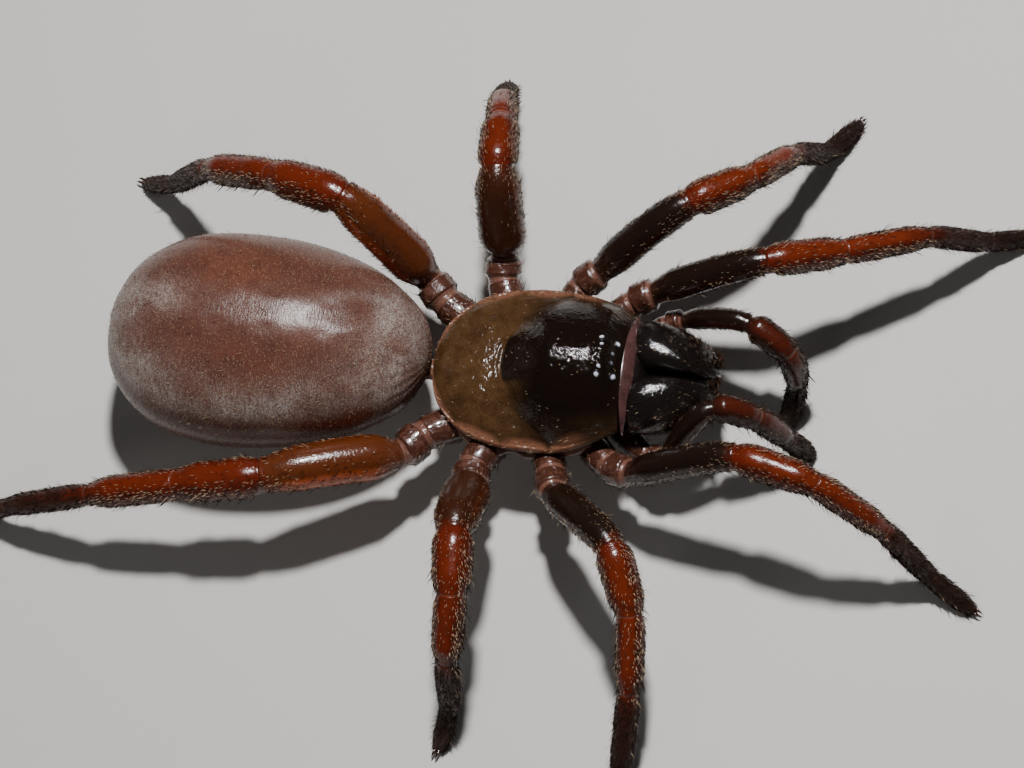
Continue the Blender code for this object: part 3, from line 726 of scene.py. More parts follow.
def carapace_skin():
    """Cross-sections from the front face to the rear: the top follows shell_top over y = half
    width times the cosine of the turn, and the underside rolls in from the rim and is hollow."""
    along = np.linspace(0.0, 1.0, 190)
    x = CARAPACE_FRONT - (CARAPACE_FRONT - CARAPACE_REAR) * 0.5 * (1.0 - np.cos(np.pi * along))
    turn = np.concatenate((np.linspace(0.0, np.pi, 150), np.linspace(np.pi, 2 * np.pi, 52)[1:-1]))
    x, turn = np.meshgrid(x, turn, indexing="ij")
    width = shell_half_width(x)
    y = width * np.cos(turn)
    from_edge = width - np.abs(y)
    bead = 0.07 * bump_at(from_edge - 0.05, 0.09) * ease((width - 0.3) / 1.0)
    wave = (0.12 * rim_lobes(x) - 0.05) * ease((0.5 - from_edge) / 0.5) * ease((2.9 - x) / 1.2)
    top = shell_top(x, y) + bead + wave
    under = shell_margin(x) + wave - 0.13 * np.abs(np.sin(turn)) ** 0.4
    under = under + 0.35 * np.clip(np.abs(np.sin(turn)) - 0.35, 0.0, None)
    z = np.where(turn <= np.pi, top, under)
    shares = np.array(FACE_SHARES)[:, None]
    middle = 0.5 * (CARAPACE_MARGIN + shell_top(CARAPACE_FRONT, 0.0))
    x = np.vstack((x[0] + 0.02 * (1.0 - shares), x))
    y = np.vstack((shares * y[0], y))
    z = np.vstack((middle + shares * (z[0] - middle), z))
    out = np.abs(y) / np.maximum(shell_half_width(x), 0.001)
    middle = 1.0 - ease((np.abs(y) - 0.7) / 0.5)
    line = ease((x - FOVEA_AT - 0.22 * y ** 2 - 0.02) / 0.12)
    head = middle * line + (1.0 - middle) * ease((x - FOVEA_AT + 0.2) / 2.4)
    head = head * (1.0 - 0.5 * ease((out - 0.5) / 0.45))
    from_edge = shell_half_width(x) - np.abs(y)
    rim = ease((0.20 + 0.34 * rim_lobes(x) - from_edge) / 0.30) * ease((2.9 - x) / 1.2)
    return Skin(np.stack((x, y, z), axis=-1), head=head, rim=rim)


def face_fold_skin():
    """The soft pale fold ahead of the head: an ellipse in section, beaded at its two edges, whose
    width falls as a power of 1 less the square of the share across, and which follows the
    shell's own crest."""
    across = np.sin(np.linspace(-0.5 * np.pi, 0.5 * np.pi, 90))[:, None]
    y = FOLD_REACH * across
    turn = whole_turn(32)[None, :]
    wide = FOLD_HALF_WIDTH * (1.0 - 0.93 * across ** 2) ** 0.8
    bead = 1.0 + 0.35 * (bump_at(np.cos(turn) - 1.0, 0.3) + bump_at(np.cos(turn) + 1.0, 0.3))
    x = 3.99 - 0.05 * across ** 2 + wide * np.cos(turn)
    crest = shell_top(np.full_like(y, CARAPACE_FRONT), y) - 0.12
    z = crest - 0.55 * (x - 3.8) + 0.08 * np.sin(turn) * bead
    return Skin(np.stack((x, np.broadcast_to(y, x.shape), z), axis=-1))


def ball_skin(middle, radius, axis, rows=22, columns=36, squash=1.0):
    """A sphere about an axis; its trait is the turn from the axis over a half turn."""
    polar = np.linspace(0.01, np.pi - 0.01, rows)
    polar, turn = np.meshgrid(polar, whole_turn(columns), indexing="ij")
    axis, ring = spokes(axis, turn)
    lift = squash * np.cos(polar)[..., None] * axis
    return Skin(middle + radius * (lift + np.sin(polar)[..., None] * ring), off_axis=polar / np.pi)


def ring_skin(middle, axis, radius, tube, rows=14, columns=36):
    """A collar: a closed ring of round section, its hole closed by its own end fans."""
    section = np.linspace(-0.9 * np.pi, 0.9 * np.pi, rows)
    section, turn = np.meshgrid(section, whole_turn(columns), indexing="ij")
    axis, ring = spokes(axis, turn)
    spread = radius + tube * np.cos(section)
    return Skin(middle + spread[..., None] * ring + (tube * np.sin(section))[..., None] * axis)


def shell_normal(x, y):
    """Unit vector square to the shell, from its slopes over a short step each way."""
    step = 0.05
    slope_x = (shell_top(x + step, y) - shell_top(x - step, y)) / (2 * step)
    slope_y = (shell_top(x, y + step) - shell_top(x, y - step)) / (2 * step)
    return unit(np.array((-slope_x, -slope_y, 1.0), float))


def jaw_skin(side):
    """A deep wedge. Its width falls with the square of the way ahead, its top droops with a higher
    power, and its girth is 1 less a power of 1 less the sine of the share along."""
    share, turn = np.meshgrid(np.linspace(0.004, 0.996, 120), whole_turn(84), indexing="ij")
    ahead = 0.5 * (1.0 + np.cos(share * np.pi))
    girth = (1.0 - (1.0 - np.sin(share * np.pi)) ** 2.2) ** 0.6
    half_width = JAW_HALF_WIDTH * (1.0 - 0.44 * ahead ** 2)
    top = JAW_TOP - 0.2 * (1.0 - ahead) ** 4 - 1.35 * ahead ** 2.6
    middle = 0.5 * (top + JAW_BOTTOM)
    lift = np.sin(turn)
    narrowing = 1.0 - 0.12 * np.clip(-lift, 0.0, None)
    inward = (0.12 + 0.45 * ahead) * np.clip(lift, 0.0, None) ** 2
    y = 0.04 + half_width * (1.0 + np.maximum(girth * (np.cos(turn) * narrowing - inward), -1.0))
    groove = 0.10 * bump_at(np.degrees(turn) - FANG_GROOVE_AT, 9.0) * ease((ahead - 0.25) / 0.3)
    z = middle + lift * (top - middle) * girth + groove
    x = JAW_BACK + JAW_LENGTH * ahead
    return Skin(np.stack((x, side * y, z), axis=-1), ahead=ahead, lift=lift)


def tube_skin(corners, radii, rows, columns=24, flatten=1.0):
    """A round section carried along a rounded path; radii are eased between (share, radius)."""
    path = Path(corners, TUBE_BEND)
    share = np.linspace(0.0, 1.0, rows)
    middle, _, back, side = path.frames(share * path.marks[-1])
    radius = eased_between(radii, share)[:, None, None]
    turn = whole_turn(columns)[None, :, None]
    ring = np.cos(turn) * side[:, None] + flatten * np.sin(turn) * back[:, None]
    return Skin(middle[:, None] + radius * ring)


def abdomen_dent(ahead, out):
    """How far a direction is from the shallow hollow behind the waist, in shares of half a body."""
    return np.hypot((ahead - 0.54) / 1.15, out - 0.06 - 0.5 * (ahead - 0.54))


def abdomen_painted_sheen(direction):
    """Where the painted sheen lies, silvery bloom that stands in for highlights: a band round the
    flanks and the rear, a patch behind the waist and the lip of the hollow."""
    ahead, out, up = np.moveaxis(direction, -1, 0)
    band = bump_at(up - 0.52, 0.19) * (0.15 + 0.85 * ease((0.35 - out) / 0.6))
    rear = bump_at(ahead + 0.80, 0.13) * ease((up - 0.2) / 0.3)
    rear = rear * (0.4 + 0.6 * ease((0.3 - out) / 0.4))
    rear = rear + 0.9 * bump_at(np.hypot((ahead + 0.56) / 1.5, out - 0.06), 0.15) * (up > 0.0)
    front = ease((ahead - 0.66) / 0.16) * ease((up + 0.1) / 0.3)
    lip = bump_at(abdomen_dent(ahead, out) - 0.20, 0.07) * (up > 0.0)
    lip = lip * ease((0.55 + out - ahead) / 0.25)
    return np.clip(band + 0.8 * rear + 0.75 * front + 0.5 * lip, 0.0, 1.0)


def abdomen_point(direction):
    """The egg's point for a unit direction: half sizes times the direction, with a girth that falls
    ahead and grows with the square of the way to either end. Bells and cosines of the direction
    press in the muscle pits, folds and hollow, and raise the book lungs' covers below."""
    ahead, out, up = np.moveaxis(direction, -1, 0)
    girth = (1.0 - ABDOMEN_EGG * ahead) * (1.0 + ABDOMEN_BLUNTNESS * ahead ** 2)
    pits = sum(bump_at(np.hypot(ahead - x, (np.abs(out) - y) / 0.8), 0.055) * (up > 0)
               for x, y in MUSCLE_PITS)
    dorsal = np.clip(up, 0.0, 1.0)
    saddle = 0.012 * np.cos(7.5 * ahead + 0.6) * dorsal + 0.010 * bump_at(out, 0.10) * dorsal
    folds = 0.004 * np.cos(26.0 * np.arctan2(out, up) + 3.0 * ahead) * bump_at(ahead - 0.93, 0.13)
    dent = abdomen_dent(ahead, out)
    hollow = (0.012 * bump_at(dent, 0.12) - 0.005 * bump_at(dent - 0.19, 0.035)) * (up > 0)
    hollow = hollow + 0.012 * bump_at(np.hypot((ahead + 0.70) / 1.3, out + 0.02), 0.05) * (up > 0)
    hollow = hollow + 0.003 * np.cos(9.0 * ahead + 5.0 * out) * np.cos(11.0 * out - 4.0 * ahead)
    furrow = 0.035 * bump_at(ahead - 0.52 + 0.10 * out ** 2, 0.022) * (up < -0.3)
    beside = np.abs(out) - LUNGS_OUT
    lungs = sum(bump_at(np.hypot((ahead - x) / 1.2, beside), 0.15) for x in LUNGS_AHEAD)
    lungs = 0.022 * lungs * (up < -0.2)
    press = 1.0 - 0.010 * pits - saddle * 0.6 - folds - furrow - hollow + lungs
    long, wide, high = ABDOMEN_HALF * HIDE_SHARE
    local = np.stack((long * ahead, wide * out * girth, high * up * girth), axis=-1)
    return ABDOMEN_MIDDLE + local * press[..., None]


def abdomen_skin():
    """Rings about the line from the waist to high on the rear, led by the waist's own rings."""
    pole = unit(np.array(WAIST_AXIS))
    side = unit(np.cross((0.0, 0.0, 1.0), pole))
    over = np.cross(pole, side)
    polar = np.concatenate((np.linspace(0.13, 0.45, 26), np.linspace(0.45, np.pi - 0.01, 150)[1:]))
    polar, turn = np.meshgrid(polar, whole_turn(128), indexing="ij")
    ring = np.cos(turn)[..., None] * side + np.sin(turn)[..., None] * over
    direction = np.cos(polar)[..., None] * pole + np.sin(polar)[..., None] * ring
    egg = abdomen_point(direction)
    path = Path(PEDICEL_POINTS)
    reach = np.linspace(0.0, path.marks[-1], 22)
    middle, _, back, across = path.frames(reach)
    radius = (PEDICEL_RADIUS * (1.0 + 0.05 * np.cos(reach * 18.0)))[:, None, None]
    angle = turn[:1, :, None]
    hoop = np.sin(angle) * back[:, None] - np.cos(angle) * across[:, None]
    waist = middle[:, None] + radius * hoop
    grid = np.vstack((waist, egg))
    waisted = np.concatenate((np.ones(len(reach)), ease((0.42 - polar[:, 0]) / 0.3)))
    under = ease((ABDOMEN_MIDDLE[2] - 1.4 - grid[..., 2]) / 1.6)
    # The painted sheen: where silvery bloom is painted into the abdomen's colour in place of
    # highlights.
    painted_sheen = np.vstack((np.zeros(waist.shape[:2]), abdomen_painted_sheen(direction)))
    return Skin(grid, waist=waisted[:, None], under=under, painted_sheen=painted_sheen)


def swept_down(place, turn):
    """The same places with the lie of the coat turned, by an angle in degrees, from along the skin
    to the steepest way down it."""
    root, out, along, uv = place
    down = unit(np.array((0.0, 0.0, -1.0)) + out[:, 2:] * out)
    turn = math.radians(turn)
    return root, out, unit(math.cos(turn) * along + math.sin(turn) * down), uv


# Joints by their place along a limb: half width of the soft band at the back and at the belly, and
# how deep it is sunk as a share of the radius
JOINTS_OF_LEG = {
    1: (0.16, 0.24, 0.035),
    2: (0.15, 0.24, 0.035),
    3: (0.05, 0.32, 0.06),
    4: (0.035, 0.06, 0.035),
    5: (0.04, 0.09, 0.04),
    6: (0.03, 0.06, 0.03),
}
JOINTS_OF_PALP = {
    1: (0.10, 0.16, 0.04),
    2: (0.10, 0.16, 0.04),
    3: (0.05, 0.22, 0.09),
    4: (0.04, 0.07, 0.05),
    5: (0.04, 0.07, 0.05),
}
JOINT_REACH = 0.42
PLAIN_STEP = 0.16
FOLD_PITCH = 0.085


class Limb:
    """A leg or palp: its rounded path and its radius, swelling between pinched joints."""

    def __init__(self, corners, radii, start_radius, tip_radius, joints, share):
        self.path = Path(corners, bow=FEMUR_BOW)
        self.marks = marks = self.path.marks
        self.tip_radius = share * tip_radius
        self.joints = joints
        knots = [(0.0, start_radius)]
        for index, radius in enumerate(radii):
            start, end = marks[index], marks[index + 1]
            if index > 0:
                knots.append((start, JOINT_PINCHES[index - 1] * min(radius, radii[index - 1])))
            for share_along, swelling in SWELLINGS:
                knots.append((start + share_along * (end - start), swelling * radius))
        knots.append((marks[-1], tip_radius))
        self.knots = [(place, share * value) for place, value in knots]

    def stations(self):
        """Distances along the limb, close together at the joints."""
        fine = [mark + JOINT_REACH * np.linspace(-1.0, 1.0, 37) for mark in self.marks[1:-1]]
        plain = np.linspace(0.0, self.marks[-1], int(self.marks[-1] / PLAIN_STEP))
        places = np.sort(np.concatenate([plain] + fine))
        places = places[(places >= 0.0) & (places <= self.marks[-1])]
        keep = np.concatenate(([True], np.diff(places) > 0.008))
        return places[keep]

    def relief(self, at, turn):
        """Factor on the radius and the mask of soft skin. Each joint is a band of soft skin whose
        half width eases from back to belly, sunk by its depth and folded, between two lips."""
        factor, soft = np.ones(np.broadcast(at, turn).shape), np.zeros(np.broadcast(at, turn).shape)
        belly = 0.5 * (1.0 - np.sin(turn))
        for index, (narrow, wide, depth) in self.joints.items():
            half = narrow + (wide - narrow) * ease(belly)
            gap = at - self.marks[index] - 0.35 * (half - narrow)
            inside = ease((half - np.abs(gap)) / 0.045 + 0.5)
            folds = 0.018 * np.cos(gap * 2.0 * np.pi / FOLD_PITCH) * inside
            lips = bump_at(gap + half + 0.06, 0.08) + 0.6 * bump_at(gap - half - 0.06, 0.07)
            factor = factor - depth * inside + folds + 0.5 * depth * lips
            soft = np.maximum(soft, inside)
        return factor, soft

    def skin(self, columns=44):
        """Rings of the knots' eased radius times the relief, then a round cap on the tip."""
        places = self.stations()
        turn = whole_turn(columns)[None, :]
        at = places[:, None]
        factor, soft = self.relief(at, turn)
        radius = eased_between(self.knots, at) * factor
        middle, ahead, back, side = self.path.frames(places)
        tip, tip_ahead = middle[-1], ahead[-1]
        ring = np.cos(turn)[..., None] * side[:, None] + np.sin(turn)[..., None] * back[:, None]
        grid = middle[:, None] + radius[..., None] * ring
        caps = np.radians(np.linspace(12, 86, 8))[:, None, None]
        cap = tip + self.tip_radius * (np.sin(caps) * tip_ahead + np.cos(caps) * ring[-1])
        grid = np.vstack((grid, cap))
        grid[..., 2] = np.maximum(grid[..., 2], 0.0)
        segment = np.interp(places, self.marks, np.arange(len(self.marks)))
        segment = np.concatenate((segment, np.full(len(caps), len(self.marks) - 1.0)))[:, None]
        soft = np.vstack((soft, np.zeros((len(caps), columns))))
        belly = np.broadcast_to(-np.sin(turn), soft.shape)
        return Skin(grid, segment=segment / SEGMENTS, soft=soft, belly=belly)


def posed_corners(start, end, lengths, pose, tip_radius):
    """Corners from the coxa's ends on: each run has a turn and a climb, and the last comes down to
    the floor."""
    corners = [start, end]
    for length, (turn, climb) in zip(lengths, pose[:-1]):
        corners.append(corners[-1] + length * heading(turn, climb))
    drop = (corners[-1][2] - tip_radius + FLOOR_FLAT_DEPTH) / lengths[-1]
    corners.append(corners[-1] + lengths[-1] * heading(pose[-1], -math.degrees(math.asin(drop))))
    return corners


def leg_limb(name, share):
    """A leg by its name, such as L1, with its radius a share of the solid's."""
    pair, sign = int(name[1]), SIDES[name[0]]
    start, end = mirrored(COXA_STARTS[pair], sign), mirrored(COXA_ENDS[pair], sign)
    corners = posed_corners(start, end, LEG_LENGTHS[pair], LEG_POSE[name], FOOT_TIP_RADIUS)
    radii = LEG_RADII[pair]
    radii = (radii[0],) + radii
    return Limb(corners, radii, LEG_START_RADIUS, FOOT_TIP_RADIUS, JOINTS_OF_LEG, share)


def palp_limb(side, share):
    """The palp of a side, with its radius a share of the solid's."""
    start, end = mirrored(MAXILLA_START, SIDES[side]), mirrored(MAXILLA_END, SIDES[side])
    corners = posed_corners(start, end, PALP_LENGTHS, PALP_POSE[side], PALP_TIP_RADIUS)
    radii = (PALP_RADII[0],) + PALP_RADII
    return Limb(corners, radii, PALP_START_RADIUS, PALP_TIP_RADIUS, JOINTS_OF_PALP, share)


def shell_finish(colours):
    """Carapace: a near-black head that clears to an olive-brown thorax, whose pale specks partly
    paint glints, and a fleshy rim, wet all over."""
    finish = Finish("carapace_shell")
    head, rim = finish.trait("head"), finish.trait("rim")
    mottle = finish.noise(0.75, 4.0, 0.6)
    grain = finish.noise(0.060, 3.0, 0.6)
    thorax = finish.mix(mottle.above(0.35, 0.7), colours.thorax, (0.036, 0.016, 0.006))
    # Pale specks in the grain: a paler tone that also paints the thorax's fine glints.
    thorax = finish.mix(grain.above(0.52, 0.72) * 0.30, thorax, (0.15, 0.095, 0.052))
    shade = head + (mottle - 0.5) * 0.10
    base = finish.mix(shade.above(-0.05, 0.92), thorax, colours.head)
    base = finish.mix(rim * (0.70 + 0.30 * mottle), base, colours.rim)
    ripple = finish.noise(0.30, 2.0, 0.5, 0.6)
    waves = finish.bump(ripple * (1.2 - 0.5 * head), 0.070, 0.8)
    pebbles = finish.bump(finish.noise(0.13, 3.0, 0.7, 0.4), 0.014, 0.9, waves)
    dimples = finish.cells(0.13)
    normal = finish.bump(grain * 0.8 + dimples.above(0.0, 0.35) * 0.35, 0.006, 0.8, pebbles)
    rough = 0.05 + 0.05 * grain + 0.06 * (1.0 - head)
    return finish.wear(Base_Color=base, Roughness=rough, Normal=normal, Specular_IOR_Level=0.32)


def jaw_finish(colours):
    """Chelicerae: glossy black with a pitted grain, which breaks up their highlights."""
    finish = Finish("chelicera_shell")
    grain = finish.noise(0.06, 2.0, 0.7)
    pits = finish.cells(0.11)
    height = grain + pits.above(0.0, 0.3) * 0.5
    base = finish.mix(finish.noise(0.8, 2.0), colours.jaw, (0.007, 0.004, 0.003))
    pebbles = finish.bump(finish.noise(0.15, 3.0, 0.7), 0.027, 0.8)
    rough = 0.06 + 0.12 * finish.noise(0.2, 3.0)
    normal = finish.bump(height, 0.007, 0.8, pebbles)
    return finish.wear(Base_Color=base, Roughness=rough, Normal=normal, Specular_IOR_Level=0.85)


def abdomen_finish(colours):
    """Abdomen: red-brown with duller clouds, gold specks all over and painted sheen in patches."""
    finish = Finish("abdomen_skin")
    painted_sheen = finish.trait("painted_sheen")
    cloud = finish.noise(4.2, 3.0, 0.5)
    mottle = finish.noise(0.9, 4.0, 0.65)
    nap = finish.noise(0.075, 3.0, 0.7, vector=finish.stretched((1.0, 0.22, 0.22), 0.12))
    specks = finish.noise(0.050, 1.0, 0.5)
    base = finish.mix(cloud.above(0.42, 0.66), colours.abdomen, colours.abdomen_warm)
    base = finish.mix(mottle.above(0.45, 0.75) * 0.6, base, colours.abdomen_dark)
    # Painted sheen: silvery bloom and sparkle stand in for the highlights on the abdomen's hairs.
    painted_bloom = painted_sheen * (0.25 + 0.75 * finish.noise(1.6, 4.0, 0.6).above(0.32, 0.68))
    painted_sparkle = specks.above(0.42, 0.60) * 0.5 + nap.above(0.42, 0.62) * 0.3
    base = finish.mix(painted_bloom * (0.14 + painted_sparkle * 0.95), base, colours.painted_sheen)
    # Gold specks for the short hairs, more of them inside the painted sheen as painted sparkle.
    base = finish.mix(specks.above(0.60, 0.68) * (0.22 + 0.30 * painted_bloom), base, colours.hair)
    base = finish.mix(finish.trait("under") * 0.35, base, (0.17, 0.10, 0.075))
    base = finish.mix(finish.trait("waist") * 0.7, base, colours.rim)
    rough = 0.23 + 0.08 * nap
    fibres = finish.bump(nap, 0.013, 0.9)
    normal = finish.bump(specks * 0.7 + mottle * 0.2, 0.007, 0.8, fibres)
    return finish.wear(Base_Color=base, Roughness=rough, Normal=normal, Specular_IOR_Level=0.28)


def limb_finish(name, colours, femur, shin, foot, amber_glow, top_light):
    """Limb skin: each segment's own colour along the segment trait, a painted glow of light through
    the femur's amber belly, painted light along the top of the shins, and pale wet skin at the
    joints."""
    finish = Finish(name)
    segment, belly, soft = finish.trait("segment"), finish.trait("belly"), finish.trait("soft")
    streaks = finish.noise(0.5, 3.0, 0.6)
    grain = finish.noise(0.07, 2.0, 0.6)
    coxa, femur, shin, foot = (tuple(colour) for colour in (colours.coxa, femur, shin, foot))
    dark_shin = tuple(0.5 * a + 0.5 * b for a, b in zip(shin, foot))
    stops = ((0.0, coxa), (6.2, foot), (1.95, coxa), (2.12, femur), (2.92, femur), (3.02, shin),
             (4.75, shin), (5.25, dark_shin))
    stops = [(place / SEGMENTS, colour) for place, colour in stops]

    def past(start, end):
        """Rises from 0 to 1 between two places along the limb, counted in its segments."""
        return segment.above(start / SEGMENTS, end / SEGMENTS)

    base = finish.ramp(segment + (streaks - 0.5) * 0.03, stops)
    on_femur = past(2.05, 2.3) * (1.0 - past(2.8, 3.02))
    # Painted glow of light shining through the femur's clear underside.
    base = finish.mix(belly.above(-0.72, -0.38) * on_femur * amber_glow, base, colours.amber_glow)
    on_shin = past(3.0, 3.3) * (1.0 - past(4.6, 5.1))
    # Painted light on the top of the shins, along the bald stripe that the bristles leave.
    lit_top = (belly * -1.0 + streaks * 0.2).above(0.78, 1.08)
    base = finish.mix(lit_top * on_shin * top_light, base, colours.back)
    base = finish.mix(streaks.above(0.45, 0.8) * 0.40, base, foot)
    hip = 1.0 - past(1.9, 2.3)
    wet = finish.noise(0.34, 3.0, 0.6, 0.8)
    base = finish.mix(wet.above(0.46, 0.66) * hip * 0.36, base, colours.membrane)
    bare = 0.75 - 0.45 * past(2.2, 3.2)
    base = finish.mix(soft.above(0.2, 0.9) * bare, base, colours.membrane)
    waves = finish.bump(wet * (0.35 + hip), 0.060, 0.8)
    height = grain * 0.8 + finish.cells(0.13).above(0.0, 0.3) * 0.5 + streaks * 0.4
    rough = 0.14 + 0.14 * grain + 0.20 * past(4.9, 5.6)
    normal = finish.bump(height, 0.013, 0.8, waves)
    return finish.wear(Base_Color=base, Roughness=rough, Normal=normal, Coat_Roughness=0.06,
                       Coat_Weight=0.10 + 0.70 * hip, Specular_IOR_Level=0.4)


def bristle_finish(name, dark, pale, glint_from, shine=0.15):
    """Bristles: most are dark, and those whose tone is above glint_from are pale: partly their own
    colour and partly painted glints where they catch the light.
    """
    finish = Finish(name)
    tone = finish.trait("tone")
    # Pale tone for bristles above glint_from: partly their own colour, partly painted glints.
    base = finish.mix(tone.above(glint_from, glint_from + 0.08), dark, pale)
    return finish.wear(Base_Color=base, Roughness=0.36 + 0.1 * tone, Specular_IOR_Level=shine)


def lens_finish(name, colours, pearly):
    """A lens: pearly in the middle, partly its own colour and partly a painted highlight, and black
    at its rim, under a clear wet coat.
    """
    finish = Finish(name)
    middle = 1.0 - finish.trait("off_axis").above(0.12, 0.34)
    veins = finish.noise(0.05, 2.0)
    pearl_and_highlight = middle * pearly * (0.75 + 0.5 * veins)
    base = finish.mix(pearl_and_highlight, (0.006, 0.006, 0.010), colours.lens)
    rough = 0.05 + 0.02 * veins
    return finish.wear(Base_Color=base, Roughness=rough, Coat_Weight=1.0, Coat_Roughness=0.02)


def plain_finish(name, first, second, size, rough, depth, coat=0.3):
    """Two colours clouded together at a size, with a fine grain of a depth."""
    finish = Finish(name)
    cloud = finish.noise(size, 3.0, 0.6)
    grain = finish.noise(0.07, 3.0, 0.6)
    base = finish.mix(cloud.above(0.35, 0.7), tuple(first), tuple(second))
    normal = finish.bump(grain + cloud * 0.6, depth, 0.6)
    return finish.wear(Base_Color=base, Roughness=rough + 0.1 * grain, Normal=normal,
                       Coat_Weight=coat, Coat_Roughness=0.1)


class SPIDER_OT_stage(bpy.types.Operator):
    """Makes the floor, the soft lights and the camera"""

    bl_idname = "spider.stage"
    bl_label = "Stage"

    def execute(self, context):
        settings = context.scene.spider_stage
        bpy.ops.mesh.primitive_circle_add(vertices=96, radius=FLOOR_RADIUS, fill_type="TRIFAN")
        floor = context.active_object
        floor.name = "floor"
        finish = Finish("floor")
        clouds = finish.noise(30.0, 3.0)
        pale = tuple(settings.floor)
        base = finish.mix(clouds, pale, tuple(0.94 * part for part in pale))
        floor.data.materials.append(finish.wear(Base_Color=base, Roughness=0.6))

        target = (np.array(LOOK_AT) + STANCE) * MM
        turn = Matrix.Rotation(math.radians(CAMERA_TURN), 3, "Z")
        away = (turn @ Vector(TO_CAMERA)).normalized()
        right = turn @ Vector(TO_RIGHT)
        right = (right - right.dot(away) * away).normalized()
        up = away.cross(right)
        camera = bpy.data.objects.new("camera", bpy.data.cameras.new("camera"))
        context.scene.collection.objects.link(camera)
        camera.data.lens = settings.lens
        camera.data.sensor_width = SENSOR_WIDTH
        camera.data.clip_start = MM
        place = Vector(target) + settings.distance * away
        axes = Matrix((right, up, away)).transposed().to_4x4()
        camera.matrix_world = Matrix.Translation(place) @ axes
        context.scene.camera = camera

        powers = {"key": settings.key_power, "fill": settings.fill_power}
        for name, (offset, wide, high) in LIGHTS.items():
            lamp = bpy.data.lights.new(name, "AREA")
            lamp.shape = "ELLIPSE"
            lamp.size = wide
            lamp.size_y = high
            lamp.energy = powers[name]
            light = bpy.data.objects.new(name, lamp)
            context.scene.collection.objects.link(light)
            light.location = Vector(target) + Vector(offset)
            light.rotation_euler = Vector(offset).to_track_quat("Z", "Y").to_euler()
            light.visible_glossy = name == "key"
        world = bpy.data.worlds.new("studio")
        world.use_nodes = True
        sky = world.node_tree.nodes["Background"].inputs
        sky["Color"].default_value = SKY_COLOUR
        sky["Strength"].default_value = settings.sky
        context.scene.world = world
        return {"FINISHED"}


class SPIDER_OT_carapace(bpy.types.Operator):
    """Makes the carapace, the soft fold ahead of it and their bristles"""

    bl_idname = "spider.carapace"
    bl_label = "Carapace"

    def execute(self, context):
        colours, sizes = context.scene.spider_colours, context.scene.spider_sizes
        skin = carapace_skin()
        add_piece("carapace_plate", skin, shell_finish(colours), ("carapace",))
        finish = plain_finish(
            "face_fold", (0.046, 0.019, 0.018), (0.080, 0.034, 0.031), 0.5, 0.10, 0.03, 1.0
        )
        add_piece("face_fold", face_fold_skin(), finish)

        draw = np.random.default_rng(SEED)
        coat = Coat(draw)
        top = skin.normals()[..., 2] > 0.1
        thin = sizes.bristle_radius / MM
        coat.grow(skin.scatter(190, draw, top), 0.10, 0.6 * thin, 30.0, stray=0.8)
        edge = top * (skin.traits["rim"] > 0.5)
        coat.grow(skin.scatter(120, draw, edge), 0.20, 0.8 * thin, 40.0)
        finish = bristle_finish("carapace_bristles", colours.bristle, colours.pale_glint_bristle, 0.55)
        add_piece("carapace_bristles", coat, finish)
        return {"FINISHED"}


class SPIDER_OT_eyes(bpy.types.Operator):
    """Makes the eight lenses and the collars they sit in"""

    bl_idname = "spider.eyes"
    bl_label = "Eyes"

    def execute(self, context):
        colours = context.scene.spider_colours
        pearly = lens_finish("pearly_lens", colours, 0.9)
        dark = lens_finish("dark_lens", colours, 0.15)
        collars = []
        for side, sign in SIDES.items():
            for kind, (ahead, out, radius) in EYES.items():
                x, y = EYE_MOUND_AT + ahead, sign * out
                normal = shell_normal(x, y)
                middle = np.array((x, y, shell_top(x, y) + (EYE_PROUD - 1.0) * radius))
                lean = np.array((0.25 * np.sign(ahead), 0.35 * sign * (out > 0.3), 0.0))
                axis = unit(normal + lean)
                name = "eye_" + kind + "_" + side
                lens = ball_skin(middle, radius, axis)
                finish = dark if kind == "ame" else pearly
                add_piece(name + "_lens", lens, finish, (name,))
                rim = middle + 0.42 * radius * normal
                collars.append(ring_skin(rim, normal, 1.02 * radius, 0.20 * radius))
        finish = plain_finish(
            "eye_collar", (0.006, 0.005, 0.005), (0.012, 0.008, 0.006), 0.1, 0.12, 0.004
        )
        add_piece("eye_collars", Joined(collars), finish)
        return {"FINISHED"}


